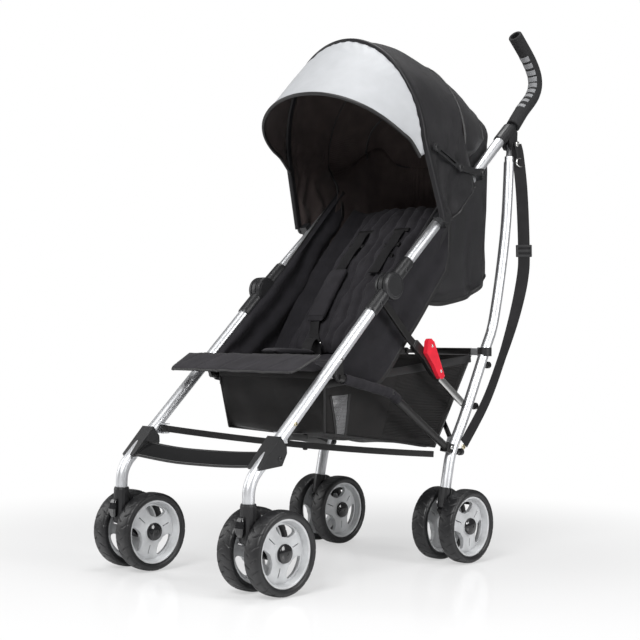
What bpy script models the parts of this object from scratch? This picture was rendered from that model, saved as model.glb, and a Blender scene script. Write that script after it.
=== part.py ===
"""Lightweight folding stroller with four double wheels, a sling seat, a two-part canopy and a basket.

Metres. X runs across (the occupant's left is +X), the stroller faces -Y, Z is up and the tyres
stand on Z = 0. Side frames lie in the planes X = +SIDE_X and X = -SIDE_X.
"""

import math

import bmesh
import bpy
from mathutils import Matrix, Vector

# Overall
SIDE_X = 0.165
TUBE_R = 0.0095
FIT = 0.0003

# Wheels
RIM_R = 0.0565
TYRE_DEPTH = 0.0135
WHEEL_R = RIM_R + TYRE_DEPTH
TYRE_WIDTH = 0.0332
PAIR_OFFSET = 0.0322
BARREL_WALL = 0.0030
WINDOW_RIM = 0.0110
HUB_RING = 0.0235
AXLE_R = 0.005
AXLE_BORE_R = 0.0056
FRONT_AXLE_Y = -0.3565
REAR_AXLE_Y = 0.1462
CASTER_TRAIL = 0.0435
STEM_Y = FRONT_AXLE_Y - CASTER_TRAIL
WHEEL_SIDES = 20

# Frame points, as (y, z) in a side plane
KNUCKLE = (-0.0560, 0.5200)
SLOPE_LOWER = math.radians(44.3)
SLOPE_UPPER = math.radians(42.4)
SOCKET_REACH = 0.072
SOCKET_R = 0.0130
TUBE_INSERT = 0.030
HANDLE_REACH = 0.4914
HANDLE_END = (KNUCKLE[0] + HANDLE_REACH * math.cos(SLOPE_UPPER),
              KNUCKLE[1] + HANDLE_REACH * math.sin(SLOPE_UPPER))
TOP_PIVOT = (HANDLE_END[0] + 0.0151, HANDLE_END[1] - 0.0224)
GRIP_R = 0.0148
GRIP_SHAPE = ((0.0261, 0.0187), (0.0559, 0.0523), (0.0961, 0.0926), (0.1052, 0.1267),
              (0.0839, 0.1614), (0.0298, 0.2058))
GRIP_LINE = [(HANDLE_END[0] + y, HANDLE_END[1] + z) for y, z in GRIP_SHAPE]
REAR_LEG_LINE = ((TOP_PIVOT[0] - 0.0015, TOP_PIVOT[1] - 0.0240), (0.3097, 0.6500), (0.2749, 0.4750),
                 (0.2430, 0.4040), (0.1784, 0.2781), (0.1400, 0.2130), (0.1262, 0.1650),
                 (0.1160, 0.1080))
COLLAR = (0.2430, 0.4040)

# Cross members
BAR_PIVOT_X = 0.150
BAR_HINGE_X = 0.144
FLOOR_FRONT = (-0.3165, 0.2530)
FLOOR_REAR = (0.1105, 0.2050)
FLOOR_HALF_H = 0.0058
FLOOR_HALF_W = 0.0035
FLOOR_BOW = 0.0064
BAR_R = 0.0075
STRUT_FOOT = (0.1580, 0.2290)
STRUT_RISE = 0.176

BAR_EYE_HALF = 0.0042
BRACKET_IN = 0.0170
BRACE_LINE = ((0.1880, 0.2975), (0.1687, 0.3050), (0.0789, 0.3640), (0.0480, 0.3950),
              (-0.0002, 0.4287), (-0.0700, 0.4900))
LATCH_PIVOT = (0.0860, 0.3610)

# Canopy
CANOPY_PIVOT = (0.0790, 0.6560)
STAY_PIVOT = (0.1930, 0.7540)
VISOR_PIVOT = (0.0500, 0.7850)
HOOD_X = 0.1900

# Seat
CLOTH = 0.0026
WING_X = 0.1460
BACK_LINE = ((-0.0430, 0.3900), (-0.0100, 0.4450), (0.0300, 0.5060), (0.0700, 0.5600),
             (0.1110, 0.6080), (0.1560, 0.6570), (0.1960, 0.6990))
BACK_HINGE = (-0.0300, 0.3740)
PAN_LINE = ((-0.0484, 0.3870), (-0.0900, 0.3740), (-0.1300, 0.3700), (-0.1700, 0.3700),
            (-0.2100, 0.3740), (-0.2420, 0.3873))
FLAP_HINGE = (-0.2380, 0.3890)

GREY = (0.62, 0.63, 0.64, 1.0)
SILVER = (0.78, 0.79, 0.80, 1.0)
BLACK = (0.02, 0.02, 0.022, 1.0)
CHARCOAL = (0.045, 0.043, 0.047, 1.0)
VISOR_GREY = (0.60, 0.61, 0.63, 1.0)
RED = (0.62, 0.02, 0.03, 1.0)

LOOKS = {
    "satin_aluminium": (SILVER, 0.32, 1.0),
    "wheel_plastic": (GREY, 0.45, 0.0),
    "tyre_foam": (BLACK, 0.60, 0.0),
    "black_plastic": (BLACK, 0.42, 0.0),
    "gloss_black": (BLACK, 0.15, 0.0),
    "black_steel": (BLACK, 0.38, 0.3),
    "grip_foam": (BLACK, 0.80, 0.0),
    "charcoal_cloth": (CHARCOAL, 0.90, 0.0),
    "black_cloth": (BLACK, 0.90, 0.0),
    "visor_cloth": (VISOR_GREY, 0.70, 0.0),
    "latch_red": (RED, 0.35, 0.0),
}


def clear_scene():
    for obj in list(bpy.data.objects):
        bpy.data.objects.remove(obj, do_unlink=True)


def look(name):
    found = bpy.data.materials.get(name)
    if found:
        return found
    colour, roughness, metallic = LOOKS[name]
    made = bpy.data.materials.new(name)
    made.use_nodes = True
    made.diffuse_color = colour
    shader = made.node_tree.nodes["Principled BSDF"]
    shader.inputs["Base Color"].default_value = colour
    shader.inputs["Roughness"].default_value = roughness
    shader.inputs["Metallic"].default_value = metallic
    return made


# Paths and sections

def at(x, yz):
    return Vector((x, yz[0], yz[1]))


def along(start, angle, distance):
    """The (y, z) point at a distance from start, angle up from +Y."""
    return (start[0] + distance * math.cos(angle), start[1] + distance * math.sin(angle))


def circle(radius, sides=10):
    turn = [2 * math.pi * (k + 0.5) / sides for k in range(sides)]
    return [(radius * math.cos(a), radius * math.sin(a)) for a in turn]


def oval(half_a, half_b, sides=12):
    turn = [2 * math.pi * (k + 0.5) / sides for k in range(sides)]
    return [(half_a * math.cos(a), half_b * math.sin(a)) for a in turn]


def rectangle(half_a, half_b):
    return [(half_a, half_b), (-half_a, half_b), (-half_a, -half_b), (half_a, -half_b)]


def fillet(points, radius, steps=4):
    """The same path with each inner corner rounded."""
    out = [points[0]]
    for before, corner, after in zip(points, points[1:], points[2:]):
        a = (before - corner).normalized()
        b = (after - corner).normalized()
        half = a.angle(b) / 2
        reach = radius / math.tan(half)
        centre = corner + (a + b).normalized() * (radius / math.sin(half))
        start = (corner + a * reach - centre).normalized()
        end = (corner + b * reach - centre).normalized()
        out += [centre + start.slerp(end, k / steps) * radius for k in range(steps + 1)]
    return out + [points[-1]]


def smooth_path(points, steps=3):
    """A curve through the points."""
    out = []
    for k in range(len(points) - 1):
        p0 = points[max(k - 1, 0)]
        p1 = points[k]
        p2 = points[k + 1]
        p3 = points[min(k + 2, len(points) - 1)]
        for s in range(steps):
            t = s / steps
            blend = (p1 * 2 + (p2 - p0) * t + (p0 * 2 - p1 * 5 + p2 * 4 - p3) * t ** 2
                     + (p1 * 3 - p0 - p2 * 3 + p3) * t ** 3)
            out.append(blend / 2)
    return out + [points[-1]]


# Solids, as bmeshes in world coordinates

def loft(rings, closed=False):
    """A closed body through rings of equal counts, capped at both ends or closed to a loop."""
    bm = bmesh.new()
    made = [[bm.verts.new(p) for p in ring] for ring in rings]
    pairs = list(zip(made, made[1:] + made[:1])) if closed else list(zip(made, made[1:]))
    for low, high in pairs:
        count = len(low)
        for k in range(count):
            n = (k + 1) % count
            bm.faces.new((low[k], low[n], high[n], high[k]))
    if not closed:
        bm.faces.new(made[0])
        bm.faces.new(made[-1])
    bmesh.ops.recalc_face_normals(bm, faces=bm.faces)
    return bm


def sweep(points, section, across=Vector((1, 0, 0))):
    """A section of (across, normal) offsets carried along the points, mitred at each bend."""
    rings = []
    last = len(points) - 1
    for k, point in enumerate(points):
        ahead = (points[min(k + 1, last)] - points[min(k, last - 1)]).normalized()
        behind = (points[max(k, 1)] - points[max(k - 1, 0)]).normalized()
        tangent = (ahead + behind).normalized()
        normal = tangent.cross(across).normalized()
        wide = normal.cross(tangent)
        mitre = 1 / max(tangent.dot(behind), 0.5)
        rings.append([point + wide * a + normal * (b * mitre) for a, b in section])
    return loft(rings)


def turned(profile, centre, sides=WHEEL_SIDES, closed=False, axis="X"):
    """A profile of (offset, radius) turned about an axis through centre, a flat facet downwards."""
    scale = 1 / math.cos(math.pi / sides)
    rings = []
    for offset, radius in profile:
        ring = []
        for k in range(sides):
            a = 2 * math.pi * (k + 0.5) / sides
            u = radius * scale * math.sin(a)
            v = -radius * scale * math.cos(a)
            if axis == "X":
                ring.append(centre + Vector((offset, u, v)))
            elif axis == "Y":
                ring.append(centre + Vector((u, offset, v)))
            else:
                ring.append(centre + Vector((u, v, offset)))
        rings.append(ring)
    return loft(rings, closed)


def pin(centre, radius, half, axis="X", sides=10):
    return turned([(-half, radius), (half, radius)], centre, sides, axis=axis)


def box(centre, half):
    corners = [(-1, -1), (1, -1), (1, 1), (-1, 1)]
    rings = [[centre + Vector((half[0] * a, half[1] * b, half[2] * c)) for a, b in corners]
             for c in (-1, 1)]
    return loft(rings)


def plate(outline, x_low, x_high):
    """An outline of (y, z) points, extruded across."""
    return loft([[at(x_low, p) for p in outline], [at(x_high, p) for p in outline]])


def arc(centre, radius, start, end, steps):
    """Points of a (y, z) arc, angles in degrees from +Y."""
    turn = [math.radians(start + (end - start) * k / steps) for k in range(steps + 1)]
    return [(centre[0] + radius * math.cos(a), centre[1] + radius * math.sin(a)) for a in turn]


# Objects

def mesh_object(name, bm, material):
    mesh = bpy.data.meshes.new(name)
    bm.to_mesh(mesh)
    bm.free()
    mesh.shade_smooth()
    mesh.set_sharp_from_angle(angle=math.radians(35))
    obj = bpy.data.objects.new(name, mesh)
    bpy.context.scene.collection.objects.link(obj)
    mesh.materials.append(look(material))
    return obj


def combine(obj, operation, bodies):
    """Adds bodies to the object, or cuts them from it."""
    for count, bm in enumerate(bodies, 1):
        helper = mesh_object(f"{obj.name}.{operation.lower()}.{count}", bm, obj.data.materials[0].name)
        helper.hide_render = True
        helper.display_type = "WIRE"
        step = obj.modifiers.new(f"{operation.lower()} {count}", "BOOLEAN")
        step.operation = operation
        step.object = helper
        step.solver = "EXACT"


def piece(name, material, solids, cuts=(), origin=None):
    """One named object: its first solid, joined by the others, less the cuts."""
    obj = mesh_object(name, solids[0], material)
    if origin is not None:
        obj.data.transform(Matrix.Translation(-origin))
        obj.location = origin
    combine(obj, "UNION", solids[1:])
    combine(obj, "DIFFERENCE", cuts)
    return obj


CLOTH_LOOK = {"visor": "visor_cloth", "hood_front": "black_cloth", "hood_rear": "black_cloth",
              "footrest_strap": "black_cloth", "carry_strap": "black_cloth"}


def cloth(name, grid, thickness=CLOTH, origin=None):
    """A sheet through rows of points, given its thickness."""
    bm = bmesh.new()
    rows = [[bm.verts.new(p) for p in row] for row in grid]
    for low, high in zip(rows, rows[1:]):
        for k in range(len(low) - 1):
            bm.faces.new((low[k], low[k + 1], high[k + 1], high[k]))
    bmesh.ops.remove_doubles(bm, verts=bm.verts, dist=0.00005)
    bmesh.ops.recalc_face_normals(bm, faces=bm.faces)
    obj = mesh_object(name, bm, CLOTH_LOOK.get(name, "charcoal_cloth"))
    if origin is not None:
        obj.data.transform(Matrix.Translation(-origin))
        obj.location = origin
    skin = obj.modifiers.new("thickness", "SOLIDIFY")
    skin.thickness = thickness
    skin.offset = 0
    return obj


# Wheels

def tyre(name, centre):
    half = TYRE_WIDTH / 2
    base = RIM_R + FIT
    right = [(half - 0.0030, base), (half, base + 0.37 * TYRE_DEPTH), (half - 0.0026, WHEEL_R - 0.0026),
             (half - 0.0086, WHEEL_R)]
    profile = right + [(-a, r) for a, r in reversed(right)]
    piece(name, "tyre_foam", [turned(profile, centre, closed=True)], origin=centre)


def rim_windows(centre):
    """Three windows between the spokes."""
    hub = (centre.y, centre.z)
    cutters = []
    for spoke in range(3):
        middle = 30 + 120 * spoke
        window = (arc(hub, RIM_R - WINDOW_RIM, middle + 32, middle + 88, 4)
                  + arc(hub, HUB_RING, middle + 78, middle + 42, 2))
        cutters.append(plate(window, centre.x - 0.012, centre.x + 0.012))
    return cutters


def wheelset(name, centre):
    """Two rims on one axle: dished spokes inside a barrel, with a hub and a domed cap."""
    barrel_half = TYRE_WIDTH / 2 - 0.0040
    inside = RIM_R - BARREL_WALL
    profile = [(-0.0130, 0.0125), (-0.0030, 0.0160), (-0.0030, inside - 0.0045),
               (-barrel_half, inside - 0.0015), (-barrel_half, RIM_R), (barrel_half, RIM_R),
               (barrel_half, inside), (0.0010, inside - 0.0045), (0.0042, 0.0160), (0.0096, 0.0100)]
    solids = [pin(centre, AXLE_R, PAIR_OFFSET)]
    cuts = []
    for out in (1, -1):
        middle = centre + Vector((out * PAIR_OFFSET, 0, 0))
        solids.append(turned([(out * a, r) for a, r in profile], middle))
        cuts += rim_windows(middle)
    piece(name, "wheel_plastic", solids, cuts, origin=centre)


def wheel_pair(place, side, axle_y):
    centre = Vector((side[1] * SIDE_X, axle_y, WHEEL_R))
    wheelset(f"wheelset_{place}_{side[0]}", centre)
    for where, out in (("outer", 1), ("inner", -1)):
        middle = centre + Vector((side[1] * out * PAIR_OFFSET, 0, 0))
        tyre(f"tyre_{place}_{side[0]}_{where}", middle)


def caster_fork(side):
    x = side[1] * SIDE_X
    axle = Vector((x, FRONT_AXLE_Y, WHEEL_R))
    stem = Vector((x, STEM_Y, 0))
    barrel = turned([(0.088, 0.0125), (0.092, 0.0135), (0.146, 0.0135), (0.150, 0.0125)], stem, 16, axis="Z")
    arm = plate([(STEM_Y - 0.0100, WHEEL_R + 0.0200), (FRONT_AXLE_Y - 0.0095, WHEEL_R - 0.0115),
                 (FRONT_AXLE_Y + 0.0085, WHEEL_R - 0.0080), (FRONT_AXLE_Y + 0.0095, WHEEL_R + 0.0100),
                 (STEM_Y + 0.0200, 0.1300), (STEM_Y + 0.0120, 0.1400), (STEM_Y - 0.0050, 0.1400)],
                x - 0.0095, x + 0.0095)
    stem_hole = turned([(0.1085, TUBE_R + 0.0005), (0.2000, TUBE_R + 0.0005)], stem, 16, axis="Z")
    piece(f"caster_fork_{side[0]}", "black_plastic", [barrel, arm, pin(axle, 0.0140, 0.0125, sides=16)],
          [pin(axle, AXLE_BORE_R, 0.03), stem_hole], origin=Vector((x, STEM_Y, 0.12)))


def swivel_lock(side):
    """The oval lever at the front of the caster, hung on a pin at its top."""
    x = side[1] * SIDE_X
    shape = ((-0.0162, 0.1290), (-0.0190, 0.1230), (-0.0205, 0.1120), (-0.0190, 0.1020), (-0.0170, 0.0970))
    line = [(STEM_Y + y, z) for y, z in shape]
    rings = []
    for point, half in zip(line, (0.0060, 0.0085, 0.0100, 0.0085, 0.0050)):
        rings.append([at(x, point) + Vector((half * a, 0.0022 * b, 0)) for a, b in
                      ((-1, -0.4), (-0.6, -1), (0.6, -1), (1, -0.4), (1, 1), (-1, 1))])
    piece(f"swivel_lock_{side[0]}", "gloss_black", [loft(rings)], origin=at(x, line[0]))


def rear_axle_block(side):
    x = side[1] * SIDE_X
    axle = Vector((x, REAR_AXLE_Y, WHEEL_R))
    leg = [at(x, p) for p in REAR_LEG_LINE[-2:]]
    down = (leg[1] - leg[0]).normalized()
    socket = sweep([leg[1] + down * 0.004, leg[1] - down * 0.034], circle(0.0125, 16))
    web = plate([(0.1060, 0.1000), (0.1330, WHEEL_R - 0.0060), (0.1560, WHEEL_R - 0.0060), (0.1580, 0.1120),
                 (0.1500, 0.1180), (0.1250, 0.1200)], x - 0.0085, x + 0.0085)
    ears = box(at(x, (0.1560, 0.1100)), (0.0120, 0.0050, 0.0090))
    slot = box(at(x, (0.1655, 0.1100)), (0.0092, 0.0110, 0.0200))
    floor = sweep([leg[1] + down * FIT, leg[1] - down * 0.004], circle(TUBE_R + FIT))
    piece(f"rear_axle_block_{side[0]}", "black_plastic",
          [socket, web, pin(axle, 0.0140, 0.0125, sides=16), ears],
          [pin(axle, AXLE_BORE_R, 0.03), floor, rear_leg_tube(x, TUBE_R + FIT), slot])


def brake_pedal(side):
    x = side[1] * SIDE_X
    line = [at(x, p) for p in ((0.1565, 0.1100), (0.1680, 0.1120), (0.1850, 0.1110), (0.1980, 0.1060))]
    pad = box(at(x, (0.1925, 0.1085)), (0.0112, 0.0070, 0.0032))
    piece(f"brake_pedal_{side[0]}", "black_plastic", [sweep(line, rectangle(0.0088, 0.0022)), pad],
          origin=line[0])


# Side frames

def lower_line():
    """The front leg's centre line, from the caster to inside the knuckle."""
    top = along(KNUCKLE, SLOPE_LOWER + math.pi, SOCKET_REACH - TUBE_INSERT)
    corner = along(KNUCKLE, SLOPE_LOWER + math.pi, (KNUCKLE[0] - STEM_Y) / math.cos(SLOPE_LOWER))
    return [(STEM_Y, 0.1090), corner, top]


def tube_between(x, yz_points, radius, bend=0.0, sides=10):
    points = [at(x, p) for p in yz_points]
    if bend:
        points = fillet(points, bend)
    return sweep(points, circle(radius, sides))


def front_leg(side):
    """The lower tube with the U-shaped clevis of the floor bar on its inner side."""
    s = side[1]
    x = s * SIDE_X
    pivot = Vector((s * BAR_PIVOT_X, *FLOOR_FRONT))
    gap = FLOOR_HALF_H + 0.0014
    reach = 0.0070
    root = SIDE_X - 0.0025
    middle = s * (root + BAR_PIVOT_X - reach) / 2
    half = (root - BAR_PIVOT_X + reach) / 2
    solids = [tube_between(x, lower_line(), TUBE_R, 0.055)]
    for up in (1, -1):
        solids.append(box(Vector((middle, pivot.y, pivot.z + up * (gap + 0.0010))), (half, reach, 0.0010)))
    solids.append(box(Vector((s * (root - 0.0030), pivot.y, pivot.z)), (0.0025, reach, gap + 0.0015)))
    solids.append(turned([(-gap - 0.001, 0.0022), (gap + 0.001, 0.0022)], pivot, 8, axis="Z"))
    piece(f"front_leg_{side[0]}", "satin_aluminium", solids)


def knuckle(side):
    """The fold knuckle: a ringed knob with a socket each way."""
    x = side[1] * SIDE_X
    half_rings = [(0.0110, 0.0225), (0.0070, 0.0250), (0.0040, 0.0235)]
    profile = [(-a, r) for a, r in half_rings] + [(0, 0.0250)] + half_rings[::-1]
    solids = [turned(profile, at(x, KNUCKLE), 18)]
    cuts = []
    for slope in (SLOPE_LOWER + math.pi, SLOPE_UPPER):
        end = along(KNUCKLE, slope, SOCKET_REACH)
        stop = along(KNUCKLE, slope, SOCKET_REACH - TUBE_INSERT - FIT)
        out = along(KNUCKLE, slope, SOCKET_REACH + 0.02)
        solids.append(tube_between(x, [KNUCKLE, end], SOCKET_R, sides=16))
        cuts.append(tube_between(x, [stop, out], TUBE_R + FIT))
    piece(f"knuckle_{side[0]}", "black_plastic", solids, cuts, origin=at(x, KNUCKLE))


def handle_line():
    return [along(KNUCKLE, SLOPE_UPPER, SOCKET_REACH - TUBE_INSERT), HANDLE_END]


def tube_height(y):
    """The upper tube's centre height at a given y."""
    return KNUCKLE[1] + (y - KNUCKLE[0]) * math.tan(SLOPE_UPPER)


def tube_foot(point):
    """The nearest point of the upper tube's centre line."""
    reach = (point[0] - KNUCKLE[0]) * math.cos(SLOPE_UPPER) + (point[1] - KNUCKLE[1]) * math.sin(SLOPE_UPPER)
    return along(KNUCKLE, SLOPE_UPPER, reach)


def block_between(start, end, half_wide, x_low, x_high):
    """A block from one (y, z) point to another, as a plate across the frame."""
    angle = math.atan2(end[1] - start[1], end[0] - start[0])
    far = along(end, angle, half_wide)
    near = along(start, angle + math.pi, half_wide)
    side = angle + math.pi / 2
    outline = [along(near, side, half_wide), along(near, side, -half_wide),
               along(far, side, -half_wide), along(far, side, half_wide)]
    return plate(outline, x_low, x_high)


def handle_tube(side):
    """The upper tube with the clamps of the canopy bow and of the stay."""
    x = side[1] * SIDE_X
    solids = [tube_between(x, handle_line(), TUBE_R)]
    clamps = ((CANOPY_PIVOT, 0.0085, HOOD_X - 0.0031), (STAY_PIVOT, 0.0070, HOOD_X - 0.0013))
    for foot, half, reach in clamps:
        low, high = sorted((side[1] * (SIDE_X + 0.0020), side[1] * reach))
        solids.append(block_between(tube_foot(foot), foot, half, low, high))
    piece(f"handle_tube_{side[0]}", "satin_aluminium", solids)


def upper_bracket(side):
    """The casting that joins the upper tube, the grip's stem and the rear leg's pivot."""
    x = side[1] * SIDE_X
    end = handle_line()[1]
    socket_low = along(end, SLOPE_UPPER, -0.030)
    socket_high = along(end, SLOPE_UPPER, 0.016)
    start = [at(x, p) for p in GRIP_LINE[:2]]
    stem = (start[1] - start[0]).normalized()
    shape = ((-0.0240, 0.0210), (-0.0115, -0.0060), (-0.0065, -0.0105), (0.0065, -0.0105),
             (0.0115, -0.0060), (0.0125, 0.0270), (0.0000, 0.0370))
    outline = [(TOP_PIVOT[0] + y, TOP_PIVOT[1] + z) for y, z in shape]
    body = plate(outline, x - 0.0105, x + 0.0105)
    solids = [tube_between(x, [socket_low, socket_high], 0.0130, sides=16), body,
              sweep([start[0] - stem * 0.024, start[0] + stem * 0.016], circle(0.0085)),
              pin(at(x, TOP_PIVOT), 0.0065, 0.0125)]
    hole = tube_between(x, [along(end, SLOPE_UPPER, -0.060), along(end, SLOPE_UPPER, FIT)], TUBE_R + FIT)
    slot_half = 0.0045
    slot = box(at(x, (TOP_PIVOT[0] - 0.0020, TOP_PIVOT[1] - 0.0095)), (slot_half, 0.0300, 0.0195))
    axle = pin(at(x, TOP_PIVOT), 0.0035, 0.0100)
    obj = piece(f"upper_bracket_{side[0]}", "black_plastic", solids, [hole, slot])
    combine(obj, "UNION", [axle])


def grip(side):
    """The foam grip, hollow for its stem and open at its top end."""
    x = side[1] * SIDE_X
    points = smooth_path([at(x, p) for p in GRIP_LINE], 2)
    first = (at(x, GRIP_LINE[1]) - points[0]).normalized()
    last = (points[-1] - points[-2]).normalized()
    stem_hole = sweep([points[0] - first * 0.010, points[0] + first * 0.0165], circle(0.0085 + FIT))
    top_hole = sweep([points[-1] - last * 0.008, points[-1] + last * 0.010], circle(0.0085))
    piece(f"grip_{side[0]}", "grip_foam", [sweep(points, circle(GRIP_R, 12))], [stem_hole, top_hole])


def footrest_bracket(side):
    """The triangular clamp around the front leg that carries the foot strap."""
    x = side[1] * SIDE_X
    outline = [(-0.3430, 0.2570), (-0.3290, 0.2400), (-0.3280, 0.2290), (-0.3390, 0.2085),
               (-0.3860, 0.2040), (-0.3880, 0.2080)]
    low, high = sorted((x - side[1] * BRACKET_IN, x + side[1] * 0.0150))
    hole = tube_between(x, lower_line(), TUBE_R + FIT, 0.055)
    piece(f"footrest_bracket_{side[0]}", "black_plastic", [plate(outline, low, high)], [hole])


def footrest_strap():
    reach = SIDE_X - BRACKET_IN - 0.0004
    rows = []
    for k in range(13):
        x = -reach + 2 * reach * k / 12
        sag = 0.0060 * (1 - (x / reach) ** 2)
        rows.append([Vector((x, -0.3840 + 0.0300 * s, 0.2075 + 0.0215 * s - sag))
                     for s in (0, 0.33, 0.67, 1)])
    cloth("footrest_strap", rows)


def rear_leg_tube(x, radius):
    return sweep(smooth_path([at(x, p) for p in REAR_LEG_LINE], 2), circle(radius))


def rear_leg(side):
    """The curved rear tube: a flat eye at the top and a collar with the cross bar's clevis."""
    s = side[1]
    x = s * SIDE_X
    shape = ((-0.0080, -0.0330), (0.0050, -0.0330), (0.0060, 0.0000), (0.0035, 0.0060),
             (-0.0035, 0.0060), (-0.0060, 0.0000))
    eye = plate([(TOP_PIVOT[0] + y, TOP_PIVOT[1] + z) for y, z in shape], x - 0.0040, x + 0.0040)
    low, high = sorted((s * (BAR_HINGE_X - 0.0075), s * (SIDE_X - 0.0060)))
    solids = [rear_leg_tube(x, TUBE_R), eye,
              turned([(-0.0080, 0.0130), (0.0080, 0.0130)], at(x, COLLAR), 12, axis="Z")]
    for front in (1, -1):
        y = COLLAR[0] + front * (BAR_EYE_HALF + 0.0006 + 0.0012)
        solids.append(box(Vector(((low + high) / 2, y, COLLAR[1])), ((high - low) / 2, 0.0012, 0.0070)))
    solids.append(pin(Vector((s * BAR_HINGE_X, *COLLAR)), 0.0025, BAR_EYE_HALF + 0.0018, axis="Y", sides=8))
    lean, depth = strut_plane()
    foot = Vector((s * BAR_PIVOT_X, *STRUT_FOOT))
    lug = foot - depth * 0.0052
    solids.append(sweep([lug - Vector((s * 0.0070, 0, 0)), lug + Vector((s * 0.0120, 0, 0))],
                        rectangle(0.0060, 0.0012), lean))
    solids.append(sweep([lug, foot + depth * 0.0050], circle(0.0025, 8)))
    piece(f"rear_leg_{side[0]}", "satin_aluminium", solids, [pin(at(x, TOP_PIVOT), 0.0041, 0.02)])


def rear_bar(side):
    """Half of the rear cross bar: an eye at the collar and a flat tongue at the middle."""
    s = side[1]
    pivot = Vector((s * BAR_HINGE_X, *COLLAR))
    y = COLLAR[0] + s * 0.0022
    solids = [sweep([Vector((s * (BAR_HINGE_X - 0.0105), *COLLAR)), Vector((s * 0.0340, *COLLAR))],
                    circle(BAR_R), Vector((0, 1, 0))),
              box(Vector((s * (BAR_HINGE_X - 0.0070), *COLLAR)), (0.0060, BAR_EYE_HALF, 0.0060)),
              pin(pivot, 0.0070, BAR_EYE_HALF, axis="Y", sides=16),
              box(Vector((s * 0.0190, y, COLLAR[1])), (0.0200, 0.0019, 0.0042)),
              pin(Vector((s * 0.0010, y, COLLAR[1])), 0.0055, 0.0019, axis="Y")]
    hole = pin(pivot, 0.0030, 0.02, axis="Y", sides=8)
    piece(f"rear_bar_{side[0]}", "black_steel", solids, [hole], origin=pivot)


def strut_plane():
    """The way up the rear legs' plane, and the normal to it."""
    lean = Vector((0, COLLAR[0] - 0.1500, COLLAR[1] - STRUT_FOOT[1])).normalized()
    return lean, lean.cross(Vector((1, 0, 0))).normalized()


def rear_strut(side):
    """A diagonal from the leg's foot up to the middle, in the plane of the rear legs."""
    s = side[1]
    foot = Vector((s * BAR_PIVOT_X, *STRUT_FOOT))
    lean, depth = strut_plane()
    apex = Vector((0, *STRUT_FOOT)) + lean * STRUT_RISE
    run = (apex - foot).normalized()
    offset = depth * (s * 0.0024)
    tongue = [apex - run * 0.040 + offset, apex + run * 0.004 + offset]
    solids = [sweep([foot, apex - run * 0.030], oval(0.0040, 0.0050, 10), depth),
              sweep(tongue, rectangle(0.0019, 0.0050), depth),
              sweep([foot - depth * 0.0036, foot + depth * 0.0036], circle(0.0062, 12))]
    hole = sweep([foot - depth * 0.02, foot + depth * 0.02], circle(0.0030, 8))
    piece(f"rear_strut_{side[0]}", "satin_aluminium", solids, [hole], origin=foot)


def floor_bar(side):
    """One diagonal of the folding floor: left front to right rear, bowed over the other."""
    s = side[1]
    start = Vector((s * BAR_PIVOT_X, *FLOOR_FRONT))
    end = Vector((-s * (BAR_PIVOT_X - 0.0075), *FLOOR_REAR))
    points = []
    for k in range(13):
        t = k / 12
        points.append(start.lerp(end, t) + Vector((0, 0, s * FLOOR_BOW * (1 - (2 * t - 1) ** 2))))
    flat = (end - start).cross(Vector((0, 0, 1))).normalized()
    middle = start.x / (start.x - end.x)
    crossing = start.lerp(end, middle) + Vector((0, 0, s * FLOOR_BOW))
    head = [(0, 0.0045), (FLOOR_HALF_H + 0.0022, 0.0045), (FLOOR_HALF_H + 0.0032, 0.0028)]
    solids = [sweep(points, rectangle(FLOOR_HALF_W, FLOOR_HALF_H), flat),
              turned([(-FLOOR_HALF_H, 0.0052), (FLOOR_HALF_H, 0.0052)], start, 12, axis="Z"),
              turned([(s * a, r) for a, r in head], crossing, 12, axis="Z")]
    hole = turned([(-0.02, 0.0027), (0.02, 0.0027)], start, 8, axis="Z")
    piece(f"floor_bar_{side[0]}", "black_steel", solids, [hole], origin=start)


def seat_tube(side):
    """The sleeved tube under the seat, from a lug at the front leg to a clevis at the rear leg."""
    x = side[1] * SIDE_X
    line = [at(x, p) for p in ((-0.1900, 0.3540), (-0.0495, 0.3254), (-0.0147, 0.3050),
                               (0.0600, 0.2570), (0.1180, 0.2215))]
    lug = plate([(-0.1990, 0.3640), (-0.1900, 0.3460), (-0.1780, 0.3540), (-0.1840, 0.3990),
                 (-0.1960, 0.3880)], x - 0.0035, x + 0.0035)
    clevis = plate([(0.1130, 0.2120), (0.1370, 0.2070), (0.1400, 0.2230), (0.1170, 0.2300)],
                   x - 0.0085, x + 0.0085)
    cuts = [tube_between(x, lower_line(), TUBE_R + FIT, 0.055), rear_leg_tube(x, TUBE_R + FIT)]
    solids = [sweep(fillet(line, 0.04, 3), circle(0.0075)), lug, clevis]
    piece(f"seat_tube_{side[0]}", "black_steel", solids, cuts)


def side_brace(side):
    """The flat over-centre brace with its channel, from the rear leg to the knuckle's socket."""
    x = side[1] * SIDE_X
    line = [at(x, p) for p in BRACE_LINE]
    lower = line[2] + (line[1] - line[2]).normalized() * 0.012
    upper = line[4] + (line[3] - line[4]).normalized() * 0.022
    solids = [sweep(line, rectangle(0.0026, 0.0070)),
              sweep([lower, line[2], line[3], upper], rectangle(0.0056, 0.0092))]
    socket = tube_between(x, [KNUCKLE, along(KNUCKLE, SLOPE_LOWER + math.pi, 0.10)], SOCKET_R + FIT, sides=16)
    hub = turned([(-0.03, 0.0255), (0.03, 0.0255)], at(x, KNUCKLE), 18)
    piece(f"side_brace_{side[0]}", "black_steel", solids, [rear_leg_tube(x, TUBE_R + FIT), socket, hub])


def red_latch(side):
    """The red release lever on the brace's outer face, hung on its lower rivet."""
    s = side[1]
    inner = s * (SIDE_X + 0.0056 + FIT)
    low, high = sorted((inner, inner + s * 0.0090))
    outline = (arc((0.0860, 0.3610), 0.0110, 200, 330, 3) + [(0.0740, 0.3980), (0.0620, 0.4210)]
               + arc((0.0510, 0.4180), 0.0090, 30, 160, 3) + [(0.0400, 0.3990), (0.0620, 0.3760)])
    piece(f"red_latch_{side[0]}", "latch_red", [plate(outline, low, high)], origin=at(inner, LATCH_PIVOT))


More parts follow.
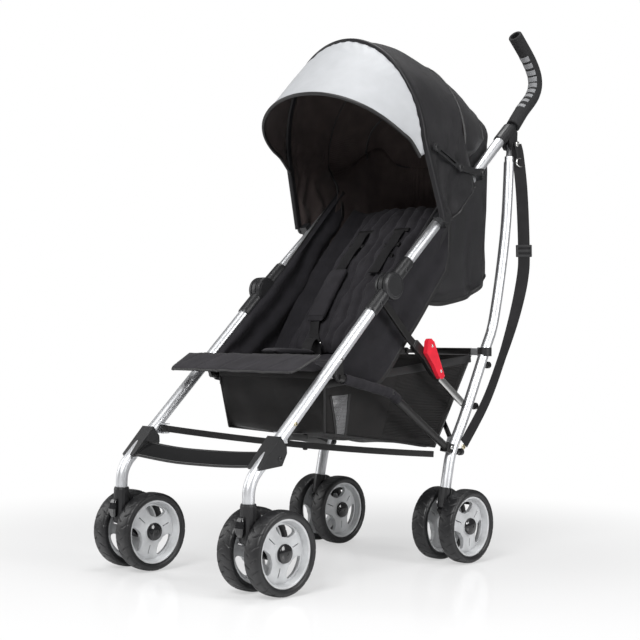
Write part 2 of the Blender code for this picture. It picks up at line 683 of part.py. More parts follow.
# Canopy

def arch(foot, spring, apex, half_foot, half_spring, legs=2, turns=10):
    """Points of a hoop from the left foot over the apex to the right foot."""
    left = []
    for k in range(legs):
        t = k / legs
        left.append(Vector((half_foot + (half_spring - half_foot) * t,
                            foot[0] + (spring[0] - foot[0]) * t, foot[1] + (spring[1] - foot[1]) * t)))
    crown = []
    for k in range(turns + 1):
        a = math.pi * k / turns
        crown.append(Vector((half_spring * math.cos(a), spring[0] + (apex[0] - spring[0]) * math.sin(a),
                             spring[1] + (apex[1] - spring[1]) * math.sin(a))))
    return left + crown + [Vector((-p.x, p.y, p.z)) for p in reversed(left)]


def canopy_bow():
    """The hoop at the front of the hood, with an eye at each foot."""
    points = arch((0.0700, 0.6560), (0.0255, 0.7980), (-0.0110, 1.0030), 0.1905, 0.1790, 3, 12)
    rings = []
    for k, p in enumerate(points):
        t = (points[min(k + 1, len(points) - 1)] - points[max(k - 1, 0)]).normalized()
        across = (Vector((0, 1, 0)) - t * t.y).normalized()
        normal = t.cross(across)
        rings.append([p + across * a + normal * b for a, b in circle(0.0032, 6)])
    eyes = [pin(Vector((s * HOOD_X, *CANOPY_PIVOT)), 0.0105, 0.0028) for s in (1, -1)]
    piece("canopy_bow", "black_plastic", [loft(rings)] + eyes, origin=at(0, CANOPY_PIVOT))


def hood_front():
    rows = [arch((0.0850, 0.6790), (0.0290, 0.7980), (-0.0076, 1.0030), 0.1870, 0.1791),
            arch((0.1080, 0.7000), (0.0720, 0.8030), (0.0480, 1.0100), 0.1850, 0.1830),
            arch((0.1300, 0.7240), (0.1120, 0.8080), (0.0960, 1.0020), 0.1830, 0.1810),
            arch((0.1460, 0.7400), (0.1460, 0.8080), (0.1460, 0.9880), 0.1815, 0.1805)]
    cloth("hood_front", rows, origin=at(0, CANOPY_PIVOT))


def hood_station(y_top, half, z_top, foot):
    """One hoop of the rear hood: it turns in over the tube, then hangs inside it."""
    knee_z = tube_height(y_top) + 0.0290
    spring_z = max(knee_z + 0.014, 0.8080)
    knee = Vector((min(0.1500, half), y_top - 0.002, knee_z))
    low = Vector((min(0.1430, half), foot[0], foot[1]))
    spring = Vector((half, y_top, spring_z))
    middle = low.lerp(knee, 0.5) - Vector((0.5 * (knee.x - low.x), 0, 0))
    left = [low, middle, knee, knee.lerp(spring, 0.5)]
    crown = []
    for k in range(9):
        a = math.pi * k / 8
        crown.append(Vector((half * math.cos(a), y_top, spring_z + (z_top - spring_z) * math.sin(a))))
    return left + crown + [Vector((-p.x, p.y, p.z)) for p in reversed(left)]


def hood_rear():
    rows = [hood_station(0.1472, 0.1815, 0.9880, (0.0840, 0.4960)),
            hood_station(0.1920, 0.1740, 0.9700, (0.1340, 0.4960)),
            hood_station(0.2400, 0.1560, 0.9330, (0.2180, 0.5160)),
            hood_station(0.2760, 0.1420, 0.8950, (0.2690, 0.5480)),
            hood_station(0.2950, 0.1180, 0.8650, (0.2900, 0.5700)),
            hood_station(0.3000, 0.0650, 0.8500, (0.2960, 0.5780)),
            hood_station(0.3010, 0.0000, 0.8450, (0.2970, 0.5800))]
    cloth("hood_rear", rows)


def visor():
    """The peak in front of the bow, sprung up at its middle."""
    rows = []
    for k in range(5):
        t = k / 4
        reach = 0.118 * t
        rows.append(arch((0.0295 - 0.35 * reach, 0.7720 - 0.10 * reach),
                         (0.0216 - 0.45 * reach, 0.7980 - 0.05 * reach),
                         (-0.0149 - reach, 1.0030 - 0.122 * t ** 1.25),
                         0.1790 - 0.008 * t, 0.1790 - 0.008 * t, 1, 12))
    cloth("visor", rows, origin=at(0, VISOR_PIVOT))


def canopy_stay(side):
    """The cranked stay with the slot that the bow's stud slides in."""
    x = side[1] * (HOOD_X + 0.0010)
    elbow = (0.1190, 0.7560)
    front = (0.0440, 0.7850)
    solids = [sweep([at(x, STAY_PIVOT), at(x, elbow), at(x, front)], rectangle(0.0018, 0.0062)),
              pin(at(x, STAY_PIVOT), 0.0085, 0.0020), pin(at(x, elbow), 0.0085, 0.0030),
              pin(at(x, front), 0.0080, 0.0020)]
    slot = sweep([at(x, (elbow[0] - 0.014, elbow[1] + 0.0054)), at(x, (front[0] + 0.012, front[1] - 0.0047))],
                 rectangle(0.01, 0.0022))
    piece(f"canopy_stay_{side[0]}", "black_plastic", solids, [slot], origin=at(x, STAY_PIVOT))


# Seat

def cushion(name, line, halves, thickness, channels, origin=None):
    """A padded panel along a (y, z) line: crowned across, drawn in at its edges and channelled."""
    path = smooth_path([at(0, p) for p in line], 3)
    columns = 12
    rings = []
    last = len(path) - 1
    for k, point in enumerate(path):
        t = k / last
        run = (path[min(k + 1, last)] - path[max(k - 1, 0)]).normalized()
        front = Vector((0, -run.z, run.y)) * (1 if run.y > 0 else -1)
        half = halves[0] + (halves[1] - halves[0]) * t - 0.018 * max((t - 0.85) / 0.15, 0) ** 2
        taper = min(1.0, 0.35 + 6.5 * min(t, 1 - t))
        upper, lower = [], []
        for c in range(columns + 1):
            u = -1 + 2 * c / columns
            crown = max(1 - u ** 4, 0) ** 0.5 * taper
            wave = 0.5 + 0.5 * math.cos(2 * math.pi * (channels * t + 0.35 * math.sin(math.pi * u)))
            rise = thickness * (0.30 + 0.50 * crown + 0.20 * crown * wave)
            upper.append(point + Vector((half * u, 0, 0)) + front * rise)
            lower.append(point + Vector((half * u, 0, 0)) - front * (0.0030 + 0.0020 * crown))
        rings.append(upper + lower[::-1])
    piece(name, "charcoal_cloth", [loft(rings)], origin=origin)


def calf_flap():
    """The padded flap in front of the seat, lying over the front of the tubes."""
    rings = []
    for k in range(7):
        t = k / 6
        centre = Vector((0, -0.2420 - 0.0545 * t, 0.3900 - 0.0290 * t))
        half = 0.1690 - 0.0090 * t
        edge = 1 - 0.55 * (2 * t - 1) ** 4
        upper, lower = [], []
        for c in range(17):
            u = -1 + c / 8
            crown = max(1 - u ** 6, 0) ** 0.5
            quilt = 0.0006 * math.cos(3 * math.pi * (t + 2 * u))
            lift = 0.0014 + 0.0026 * crown * edge + quilt * crown
            upper.append(centre + Vector((half * u, 0, lift)))
            lower.append(centre + Vector((half * u, 0, -0.0014 - 0.0012 * crown * edge)))
        rings.append(upper + lower[::-1])
    piece("calf_flap", "charcoal_cloth", [loft(rings)], origin=at(0, FLAP_HINGE))


def seat_wing(side):
    """The side panel of the sling, hung inside the tubes from the seat up to the hood."""
    x = side[1] * WING_X
    top = smooth_path([at(x, p) for p in ((-0.2050, 0.3690), (-0.0950, 0.4750), (0.0150, 0.5790),
                                          (0.1100, 0.6640))], 2)
    low = smooth_path([at(x, p) for p in ((-0.1830, 0.3560), (-0.0700, 0.3380), (0.0300, 0.4340),
                                          (0.1150, 0.5300))], 2)
    cloth(f"seat_wing_{side[0]}", [[a.lerp(b, s / 4) for s in range(5)] for a, b in zip(top, low)])


# Basket and straps

def basket_ring(t, inset):
    """One level of the basket, from the floor (0) to the hem (1), as a loop of eight-cornered points."""
    front = Vector((0.1240, -0.1780, 0.2536)).lerp(Vector((0.1360, -0.1930, 0.3470)), t)
    rear = Vector((0.1300, 0.1300, 0.2176)).lerp(Vector((0.1400, 0.2300, 0.3960)), t)
    corner = 0.016
    lift = inset if t == 0 else 0
    half = []
    for end, inward in ((front, 1), (rear, -1)):
        x = end.x - inset
        y = end.y + inward * inset
        points = [Vector((0, y, end.z + lift)), Vector((x - corner, y, end.z + lift)),
                  Vector((x, y + inward * corner, end.z + lift))]
        half += points if inward > 0 else points[::-1]
    other = [Vector((-p.x, p.y, p.z)) for p in half[::-1][1:-1]]
    return half + other


def basket():
    """The hung basket: a floor, four walls and an open top, its rear hem ahead of the cross bar."""
    levels = [(0, 0), (0.5, 0), (1, 0), (1, CLOTH), (0.5, CLOTH), (0, CLOTH)]
    piece("basket", "black_cloth", [loft([basket_ring(t, inset) for t, inset in levels])])


def carry_strap():
    """The carrying strap of the left frame: ring at the bracket, slider, bolt on the leg."""
    route = [(0.1789, TOP_PIVOT[0] + 0.0040, TOP_PIVOT[1] + 0.0010),
             (0.1815, 0.3420, 0.7400), (0.1815, 0.3530, 0.6200),
             (0.1815, 0.3500, 0.5600), (0.1815, 0.3230, 0.4800), (0.1815, 0.2780, 0.3900),
             (0.1815, 0.2260, 0.3050), (0.1759, 0.1640, 0.2250)]
    path = smooth_path([Vector(p) for p in route], 3)
    rows = []
    for k, p in enumerate(path):
        run = (path[min(k + 1, len(path) - 1)] - path[max(k - 1, 0)]).normalized()
        wide = run.cross(Vector((1, 0, 0))).normalized() * 0.0125
        rows.append([p - wide, p, p + wide])
    cloth("carry_strap", rows, 0.0022)


def build():
    clear_scene()
    for side in (("left", 1), ("right", -1)):
        wheel_pair("front", side, FRONT_AXLE_Y)
        wheel_pair("rear", side, REAR_AXLE_Y)
        for make in (caster_fork, swivel_lock, rear_axle_block, brake_pedal, front_leg, knuckle,
                     handle_tube, upper_bracket, grip, footrest_bracket, rear_leg, rear_bar,
                     rear_strut, floor_bar, seat_tube, side_brace, red_latch, canopy_stay, seat_wing):
            make(side)
    for make in (canopy_bow, hood_front, hood_rear, visor, calf_flap, basket, carry_strap, footrest_strap):
        make()
    cushion("backrest", BACK_LINE, (0.118, 0.098), 0.016, 9, at(0, BACK_HINGE))
    cushion("seat_pan", PAN_LINE, (0.1440, 0.1440), 0.014, 4)


build()
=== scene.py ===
import math

import bmesh
import bpy
from mathutils import Matrix, Vector, noise

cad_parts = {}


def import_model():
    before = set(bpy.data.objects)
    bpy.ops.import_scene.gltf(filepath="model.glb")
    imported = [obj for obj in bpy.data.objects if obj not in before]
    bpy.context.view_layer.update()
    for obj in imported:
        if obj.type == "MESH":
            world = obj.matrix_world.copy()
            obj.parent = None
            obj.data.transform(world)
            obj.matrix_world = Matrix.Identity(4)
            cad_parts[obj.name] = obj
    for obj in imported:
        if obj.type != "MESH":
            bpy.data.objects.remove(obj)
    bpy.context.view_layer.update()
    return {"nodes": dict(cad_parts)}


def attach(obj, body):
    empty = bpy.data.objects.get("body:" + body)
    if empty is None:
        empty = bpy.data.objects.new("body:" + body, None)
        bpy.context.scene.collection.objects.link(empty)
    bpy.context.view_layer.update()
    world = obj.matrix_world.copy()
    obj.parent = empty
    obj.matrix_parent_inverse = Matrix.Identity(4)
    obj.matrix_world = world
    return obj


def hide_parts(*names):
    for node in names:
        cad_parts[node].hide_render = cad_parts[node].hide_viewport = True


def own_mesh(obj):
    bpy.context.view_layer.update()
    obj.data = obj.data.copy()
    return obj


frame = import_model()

SIDES = (("left", 1), ("right", -1))
X_AXIS, Y_AXIS, Z_AXIS = Vector((1, 0, 0)), Vector((0, 1, 0)), Vector((0, 0, 1))
TURN = 2 * math.pi

# Sizes and places of the CAD source, in metres; pairs are (y, z)
SIDE_X = 0.165
TUBE_R = 0.0095
TYRE_R = 0.070
TYRE_HALF = 0.0166
RIM_R = 0.0565
PAIR_OFFSET = 0.0322
FRONT_AXLE = (-0.3565, 0.070)
REAR_AXLE = (0.1462, 0.070)
STEM_Y = -0.400
STEM_TOP = 0.1095
KNUCKLE = (-0.0560, 0.5200)
SLOPE_LOWER = math.radians(44.3)
SLOPE_UPPER = math.radians(42.4)
SOCKET_REACH = 0.072
HANDLE_REACH = 0.4880
GRIP_R = 0.0146
GRIP_LINE = ((0.3330, 0.8700), (0.3628, 0.9037), (0.4030, 0.9440), (0.4121, 0.9781),
             (0.3908, 1.0128), (0.3367, 1.0572))
REAR_LEG_LINE = ((0.3205, 0.8050), (0.3097, 0.6500), (0.2749, 0.4750), (0.2430, 0.4040),
                 (0.1784, 0.2781), (0.1400, 0.2130), (0.1262, 0.1650), (0.1160, 0.1080))
COLLAR = (0.2430, 0.4040)
BACK_LINE = ((-0.0430, 0.3900), (-0.0100, 0.4450), (0.0300, 0.5060), (0.0700, 0.5600),
             (0.1110, 0.6080), (0.1560, 0.6570), (0.1960, 0.6990))
PAN_LINE = ((-0.0484, 0.3870), (-0.0900, 0.3740), (-0.1300, 0.3700), (-0.1700, 0.3700),
            (-0.2100, 0.3740), (-0.2420, 0.3873))
STRAP_LINE = ((0.1789, 0.3260, 0.8300), (0.1815, 0.3420, 0.7400), (0.1815, 0.3530, 0.6200),
              (0.1815, 0.3500, 0.5600), (0.1815, 0.3230, 0.4800), (0.1815, 0.2780, 0.3900),
              (0.1815, 0.2260, 0.3050), (0.1759, 0.1640, 0.2250))
CANOPY_PIVOT = (0.0790, 0.6560)
STAY_PIVOT = (0.1930, 0.7540)
HOOD_X = 0.1900

# Shares of their width that soft pieces keep when the frame closes sideways; only whether a share
# is given is used, to give a piece a mesh of its own
FOLD_KEEP = 0.624
HOOD_KEEP = 0.674


# Materials

def new_node(tree, kind, **values):
    """A node whose inputs and settings are given by name."""
    made = tree.nodes.new(kind)
    for key, value in values.items():
        if key in made.inputs:
            made.inputs[key].default_value = value
        else:
            setattr(made, key, value)
    return made


def combined(tree, operation, a, b):
    """A math node's result for two outputs, or for an output and a number."""
    made = new_node(tree, "ShaderNodeMath", operation=operation)
    for socket, value in zip(made.inputs, (a, b)):
        if isinstance(value, float):
            socket.default_value = value
        else:
            tree.links.new(value, socket)
    return made.outputs[0]


class Look:
    """A procedural material, with helpers for its nodes."""

    def __init__(self, name, colour, roughness, metallic=0.0, **sockets):
        self.mat = bpy.data.materials.new(name)
        self.mat.use_nodes = True
        self.tree = self.mat.node_tree
        self.shader = self.tree.nodes["Principled BSDF"]
        self.colour = (*colour, 1.0)
        self.roughness = roughness
        self.place = None
        self.height = None
        sockets.update(Base_Color=self.colour, Roughness=roughness, Metallic=metallic)
        for key, value in sockets.items():
            self.shader.inputs[key.replace("_", " ")].default_value = value

    def node(self, kind, **values):
        return new_node(self.tree, kind, **values)

    def link(self, a, b):
        self.tree.links.new(a, b)

    def texture(self, kind, output, stretch=(1, 1, 1), uv=False, **values):
        """A texture in the object's coordinates, or in those of a sheet's threads."""
        if self.place is None:
            self.place = self.node("ShaderNodeTexCoord")
        mapping = self.node("ShaderNodeMapping", Scale=stretch)
        self.link(self.place.outputs["UV" if uv else "Object"], mapping.inputs["Vector"])
        made = self.node(kind, **values)
        self.link(mapping.outputs["Vector"], made.inputs["Vector"])
        return made.outputs[output]

    def noise(self, size, detail=2.0, stretch=(1, 1, 1)):
        return self.texture("ShaderNodeTexNoise", "Fac", stretch, Scale=1 / size, Detail=detail)

    def cells(self, size):
        return self.texture("ShaderNodeTexVoronoi", "Distance", Scale=1 / size)

    def threads(self, pitch):
        """Woven threads: two crossed waves, one over the other in turn."""
        waves = [self.texture("ShaderNodeTexWave", "Fac", uv=True, Scale=math.pi / (10 * pitch),
                              bands_direction=direction) for direction in ("X", "Y")]
        return combined(self.tree, "MAXIMUM", *waves)

    def vary_colour(self, factor, low, high):
        ramp = self.node("ShaderNodeValToRGB")
        for element, place, share in zip(ramp.color_ramp.elements, (0.30, 0.72), (low, high)):
            element.position = place
            element.color = [min(1.0, c * share) for c in self.colour[:3]] + [1.0]
        self.link(factor, ramp.inputs["Fac"])
        self.link(ramp.outputs["Color"], self.shader.inputs["Base Color"])

    def vary_roughness(self, factor, spread):
        span = self.node("ShaderNodeMapRange")
        span.inputs["To Min"].default_value = max(0.02, self.roughness - spread)
        span.inputs["To Max"].default_value = min(1.0, self.roughness + spread)
        self.link(factor, span.inputs["Value"])
        self.link(span.outputs["Result"], self.shader.inputs["Roughness"])

    def bump(self, factor, depth, strength=1.0):
        made = self.node("ShaderNodeBump", Strength=strength, Distance=depth)
        self.link(factor, made.inputs["Height"])
        if self.height is not None:
            self.link(self.height, made.inputs["Normal"])
        self.height = made.outputs["Normal"]
        self.link(self.height, self.shader.inputs["Normal"])

    def holes(self, pitch, reach):
        """Lets light through a net's openings, round ones of a radius of reach times pitch."""
        cells = self.texture("ShaderNodeTexVoronoi", "Distance", uv=True, Scale=1 / pitch,
                             Randomness=0.0)
        self.link(combined(self.tree, "GREATER_THAN", cells, reach), self.shader.inputs["Alpha"])


def plastic(name, colour, roughness, grain=0.00025, depth=0.00004, **sockets):
    look = Look(name, colour, roughness, **sockets)
    look.vary_colour(look.noise(0.020, 3), 0.86, 1.12)
    look.vary_roughness(look.noise(0.006, 3), 0.06)
    look.bump(look.noise(grain, 2), depth)
    return look.mat


def fabric(name, colour, roughness=0.88, pitch=0.0007, depth=0.00012, woven=True,
           low=0.80, high=1.22):
    look = Look(name, colour, roughness, Sheen_Weight=0.06, Sheen_Roughness=0.4,
                Specular_IOR_Level=0.22)
    look.vary_colour(look.noise(0.030, 4), low, high)
    look.bump(look.threads(pitch) if woven else look.cells(pitch * 1.4), depth)
    look.bump(look.noise(0.0045, 3), 0.0002, 0.5)
    return look.mat


def metal(name, colour, roughness, stretch=(1, 1, 1)):
    look = Look(name, colour, roughness, 1.0)
    look.vary_roughness(look.noise(0.012, 3, stretch), 0.03)
    look.vary_colour(look.noise(0.05, 2), 0.94, 1.04)
    return look.mat


def net(name, colour, pitch, reach):
    look = Look(name, colour, 0.75)
    look.vary_colour(look.noise(0.04, 2), 0.8, 1.2)
    look.holes(pitch, reach)
    return look.mat


LOOKS = {
    "aluminium": metal("satin_aluminium", (0.77, 0.78, 0.80), 0.43, (1.0, 0.12, 0.12)),
    "steel": metal("bright_steel", (0.72, 0.72, 0.71), 0.20),
    "brass": metal("bolt_zinc", (0.62, 0.57, 0.42), 0.28),
    "black": plastic("moulded_black", (0.012, 0.012, 0.013), 0.40),
    "gloss": plastic("gloss_black", (0.010, 0.010, 0.011), 0.12, depth=0.00001, Coat_Weight=0.4),
    "powder": plastic("powder_black", (0.010, 0.0095, 0.0095), 0.34, grain=0.0006, depth=0.00003),
    "rim": plastic("rim_grey", (0.56, 0.57, 0.58), 0.34, depth=0.00002),
    "tyre": plastic("tyre_foam", (0.009, 0.009, 0.010), 0.42, grain=0.0008, depth=0.00010),
    "grip": plastic("grip_foam", (0.009, 0.009, 0.010), 0.86, grain=0.0005, depth=0.00018),
    "pad": plastic("grip_pad", (0.215, 0.218, 0.226), 0.60),
    "red": plastic("latch_red", (0.74, 0.018, 0.040), 0.30, depth=0.00001, Coat_Weight=0.2),
    "seat": fabric("seat_cloth", (0.024, 0.0225, 0.026), pitch=0.0008, woven=False),
    "wing": fabric("wing_cloth", (0.016, 0.015, 0.018), roughness=0.80),
    "hood": fabric("hood_cloth", (0.012, 0.0115, 0.0130), roughness=0.40, low=0.85, high=1.15),
    "visor": fabric("visor_cloth", (0.42, 0.43, 0.445), roughness=0.46, pitch=0.0005,
                    depth=0.00004, low=0.95, high=1.03),
    "lining": fabric("lining_mesh", (0.050, 0.038, 0.036), roughness=0.85, pitch=0.0012,
                     depth=0.0003),
    "basket": fabric("basket_cloth", (0.009, 0.008, 0.008), roughness=0.55, low=0.8, high=1.25),
    "piping": plastic("piping_black", (0.008, 0.0075, 0.008), 0.48, grain=0.0009, depth=0.00008),
    "webbing": fabric("webbing", (0.012, 0.0115, 0.0125), roughness=0.72, pitch=0.0011,
                      depth=0.00030),
    "strap_gloss": plastic("foot_strap", (0.006, 0.006, 0.0065), 0.10, grain=0.004,
                           depth=0.00006),
    "net": net("basket_net", (0.20, 0.20, 0.205), 0.0032, 0.40),
    "mesh": net("basket_mesh", (0.012, 0.011, 0.011), 0.0026, 0.42),
}


# Points and lines

def at(x, yz):
    return Vector((x, yz[0], yz[1]))


def in_plane(x, *pairs):
    return [at(x, p) for p in pairs]


def vectors(*triples):
    return [Vector(p) for p in triples]


def along(start, angle, distance):
    return (start[0] + distance * math.cos(angle), start[1] + distance * math.sin(angle))


def spread(first, last, count):
    """Even steps from first to last."""
    return [first + (last - first) * k / count for k in range(count + 1)]


def mirrored(points):
    """The way back down the other side."""
    return [Vector((-p.x, p.y, p.z)) for p in reversed(points)]


def distances(points):
    """How far along the line each point lies."""
    out = [0.0]
    for a, b in zip(points, points[1:]):
        out.append(out[-1] + (b - a).length)
    return out


def tangents(points):
    """The line's direction at each point."""
    last = len(points) - 1
    return [(points[min(k + 1, last)] - points[max(k - 1, 0)]).normalized()
            for k in range(last + 1)]


def smooth_path(points, steps):
    """A curve through the points."""
    out = []
    for k in range(len(points) - 1):
        p0, p1, p2 = points[max(k - 1, 0)], points[k], points[k + 1]
        p3 = points[min(k + 2, len(points) - 1)]
        for s in range(steps):
            t = s / steps
            out.append((p1 * 2 + (p2 - p0) * t + (p0 * 2 - p1 * 5 + p2 * 4 - p3) * t ** 2
                        + (p1 * 3 - p0 - p2 * 3 + p3) * t ** 3) / 2)
    return out + [points[-1].copy()]


def fillet(points, radius, steps):
    """The line with an arc of the radius at each corner."""
    out = [points[0]]
    for before, corner, after in zip(points, points[1:], points[2:]):
        a = (before - corner).normalized()
        b = (after - corner).normalized()
        half = a.angle(b) / 2
        reach = radius / math.tan(half)
        centre = corner + (a + b).normalized() * (radius / math.sin(half))
        start = (corner + a * reach - centre).normalized()
        end = (corner + b * reach - centre).normalized()
        out += [centre + start.slerp(end, k / steps) * radius for k in range(steps + 1)]
    return out + [points[-1]]


def circle(radius, sides):
    return [(radius * math.cos(TURN * k / sides), radius * math.sin(TURN * k / sides))
            for k in range(sides)]


def rounded(half_a, half_b, corner, steps=2):
    """A rectangle section with round corners."""
    out = []
    for quarter, (sa, sb) in enumerate(((1, 1), (-1, 1), (-1, -1), (1, -1))):
        for k in range(steps + 1):
            a = math.pi / 2 * (quarter + k / steps)
            out.append((sa * (half_a - corner) + corner * math.cos(a),
                        sb * (half_b - corner) + corner * math.sin(a)))
    return out


def ring(centre, tangent, radius, sides=40):
    """A circle round a line that runs in a plane of the same x."""
    normal = tangent.cross(X_AXIS)
    return [centre + X_AXIS * a + normal * b for a, b in circle(radius, sides)]


# Objects

def add(name, bm, look, sharp=40):
    mesh = bpy.data.meshes.new(name)
    bm.to_mesh(mesh)
    bm.free()
    mesh.shade_smooth()
    mesh.set_sharp_from_angle(angle=math.radians(sharp))
    mesh.materials.append(LOOKS[look])
    obj = bpy.data.objects.new(name, mesh)
    bpy.context.scene.collection.objects.link(obj)
    return obj


def fixed(name, bm, look, body, sharp=40):
    """A piece that rides a body as it is."""
    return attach(add(name, bm, look, sharp), body)


def folds_with(obj, body):
    """Rides a body, with a mesh of its own."""
    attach(obj, body)
    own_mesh(obj)
    return obj


def folding(name, bm, look, body, sharp=40):
    return folds_with(add(name, bm, look, sharp), body)


def lofted(rings, closed=False, caps=True):
    bm = bmesh.new()
    made = [[bm.verts.new(p) for p in points] for points in rings]
    for low, high in zip(made, made[1:] + (made[:1] if closed else [])):
        for k in range(len(low)):
            n = (k + 1) % len(low)
            bm.faces.new((low[k], low[n], high[n], high[k]))
    if caps and not closed:
        bm.faces.new(made[0])
        bm.faces.new(made[-1])
    bmesh.ops.recalc_face_normals(bm, faces=bm.faces)
    return bm


def swept(points, section, across=X_AXIS, caps=True):
    """A section carried along a line, its first direction kept towards across."""
    rings = []
    for point, tangent in zip(points, tangents(points)):
        normal = tangent.cross(across).normalized()
        wide = normal.cross(tangent)
        rings.append([point + wide * a + normal * b for a, b in section])
    return lofted(rings, caps=caps)


def spun(profile, centre=Vector(), axis="X", sides=48, closed=False):
    """A profile of (offset, radius) turned about an axis."""
    rings = []
    for offset, radius in profile:
        turned = [(radius * math.sin(TURN * k / sides), -radius * math.cos(TURN * k / sides))
                  for k in range(sides)]
        rings.append([centre + Vector((offset, u, v) if axis == "X" else (u, offset, v))
                      for u, v in turned])
    return lofted(rings, closed)


def join(bms):
    """All the meshes in the first one."""
    first = bms[0]
    for other in bms[1:]:
        mesh = bpy.data.meshes.new("scratch")
        other.to_mesh(mesh)
        other.free()
        first.from_mesh(mesh)
        bpy.data.meshes.remove(mesh)
    return first


WELD_REACH = 0.00002


def soften(obj, width, segments=2, angle=35):
    """Rounds an object's edges."""
    weld = obj.modifiers.new("weld", "WELD")
    weld.merge_threshold = WELD_REACH
    bevel = obj.modifiers.new("edges", "BEVEL")
    bevel.width = width
    bevel.segments = segments
    bevel.limit_method = "ANGLE"
    bevel.angle_limit = math.radians(angle)
    bevel.harden_normals = False


def applied(obj):
    """The object with its modifiers made part of its mesh."""
    bpy.context.view_layer.update()
    graph = bpy.context.evaluated_depsgraph_get()
    mesh = bpy.data.meshes.new_from_object(obj.evaluated_get(graph), depsgraph=graph)
    obj.modifiers.clear()
    old = obj.data
    obj.data = mesh
    bpy.data.meshes.remove(old)
    return obj


# Sheets of cloth

def refined(grid, across, down):
    """A finer grid through a grid of points, curved both ways."""
    rows = [smooth_path(row, across) for row in grid]
    columns = [smooth_path(list(column), down) for column in zip(*rows)]
    return [list(row) for row in zip(*columns)]


def displaced(grid, height):
    """The grid moved along its normals by height(u, v, point)."""
    last_r, last_c = len(grid) - 1, len(grid[0]) - 1
    out = []
    for r, row in enumerate(grid):
        line = []
        for c, p in enumerate(row):
            du = row[min(c + 1, last_c)] - row[max(c - 1, 0)]
            dv = grid[min(r + 1, last_r)][c] - grid[max(r - 1, 0)][c]
            normal = du.cross(dv)
            normal = normal.normalized() if normal.length > 1e-12 else Z_AXIS
            line.append(p + normal * height(c / last_c, r / last_r, p))
        out.append(line)
    return out


def sheet(name, grid, look, thickness, lining):
    """A cloth sheet with its threads' directions in its UV map, in metres."""
    bm = bmesh.new()
    layer = bm.loops.layers.uv.new("threads")
    verts = [[bm.verts.new(p) for p in row] for row in grid]
    across = distances(grid[len(grid) // 2])
    down = distances([row[len(row) // 2] for row in grid])
    for r in range(len(grid) - 1):
        for c in range(len(grid[0]) - 1):
            corners = ((r, c), (r, c + 1), (r + 1, c + 1), (r + 1, c))
            points = [verts[i][j] for i, j in corners]
            if min((a.co - b.co).length for a, b in zip(points, points[1:])) < 1e-6:
                continue
            face = bm.faces.new(points)
            for loop, (i, j) in zip(face.loops, corners):
                loop[layer].uv = (across[j], down[i])
    obj = add(name, bm, look, sharp=75)
    skin = obj.modifiers.new("thickness", "SOLIDIFY")
    skin.thickness = thickness
    skin.offset = 0
    if lining:
        obj.data.materials.append(LOOKS[lining])
        skin.material_offset = 1
        skin.material_offset_rim = 0
    return obj


def cloth(name, grid, look, body, rests_on, node=None, held="stretched", keep=FOLD_KEEP,
          thickness=0.0014, lining=None, flip=False):
    """A sheet that rides a body and, with a node, stands for it; flip turns it over."""
    obj = sheet(name, grid[::-1] if flip else grid, look, thickness, lining)
    if keep:
        folds_with(obj, body)
    else:
        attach(obj, body)
    if node:
        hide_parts(node)
    return obj


def wrinkle(p, size, seed=0.0):
    """Smooth folds, between -1 and 1."""
    return noise.noise(Vector((p.x / size + seed, p.y / size, p.z / size)))


# Stage

AZIMUTH, ELEVATION, ROLL = 0.75404, -0.028185, 0.016352
CAMERA_PLACE = (1.6316, -1.7997, 0.3919)
FOCAL_PX = 1248.4
PICTURE_PX = 640
AIM = Vector((0, 0, 0.5))
WHITE = (1, 1, 1, 1)
FILL = 0.17
FLOOR_FADE = (0.40, 1.3)
FLOOR_GLOW = 0.50
FLOOR_DROP = 0.0006
# Name, place, size and power
LAMPS = (("key", (0.9, -2.6, 2.4), (1.3, 1.3), 84), ("side", (2.8, 0.4, 1.5), (1.0, 1.6), 46),
         ("left", (-2.4, -1.6, 1.4), (1.2, 2.0), 26), ("top", (0, 0.3, 3.0), (1.6, 1.6), 44))


def camera():
    """The photograph's camera, solved from its wheels and tubes."""
    back = Vector((math.sin(AZIMUTH) * math.cos(ELEVATION),
                   -math.cos(AZIMUTH) * math.cos(ELEVATION), math.sin(ELEVATION)))
    right = Vector((math.cos(AZIMUTH), math.sin(AZIMUTH), 0))
    up = back.cross(right)
    level = right * math.cos(ROLL) + up * math.sin(ROLL)
    rise = up * math.cos(ROLL) - right * math.sin(ROLL)
    data = bpy.data.cameras.new("camera")
    data.sensor_width = 36
    data.lens = data.sensor_width * FOCAL_PX / PICTURE_PX
    data.clip_start = 0.05
    obj = bpy.data.objects.new("camera", data)
    bpy.context.scene.collection.objects.link(obj)
    turn = Matrix((level, rise, back)).transposed().to_4x4()
    obj.matrix_world = Matrix.Translation(CAMERA_PLACE) @ turn
    bpy.context.scene.camera = obj


def lamp(name, place, size, power):
    data = bpy.data.lights.new(name, "AREA")
    data.shape = "RECTANGLE"
    data.size, data.size_y = size
    data.energy = power
    obj = bpy.data.objects.new(name, data)
    bpy.context.scene.collection.objects.link(obj)
    obj.location = place
    obj.rotation_euler = (AIM - Vector(place)).to_track_quat("-Z", "Y").to_euler()


def white_seen(tree):
    """1 for rays of the camera and through openings, 0 for light that lands."""
    path = new_node(tree, "ShaderNodeLightPath")
    return combined(tree, "MAXIMUM", path.outputs["Is Camera Ray"],
                    path.outputs["Is Transmission Ray"])


def mix_into(target, tree, share, first, second):
    mix = new_node(tree, "ShaderNodeMixShader")
    for link, socket in zip((share, first.outputs[0], second.outputs[0]), mix.inputs):
        tree.links.new(link, socket)
    tree.links.new(mix.outputs[0], target)


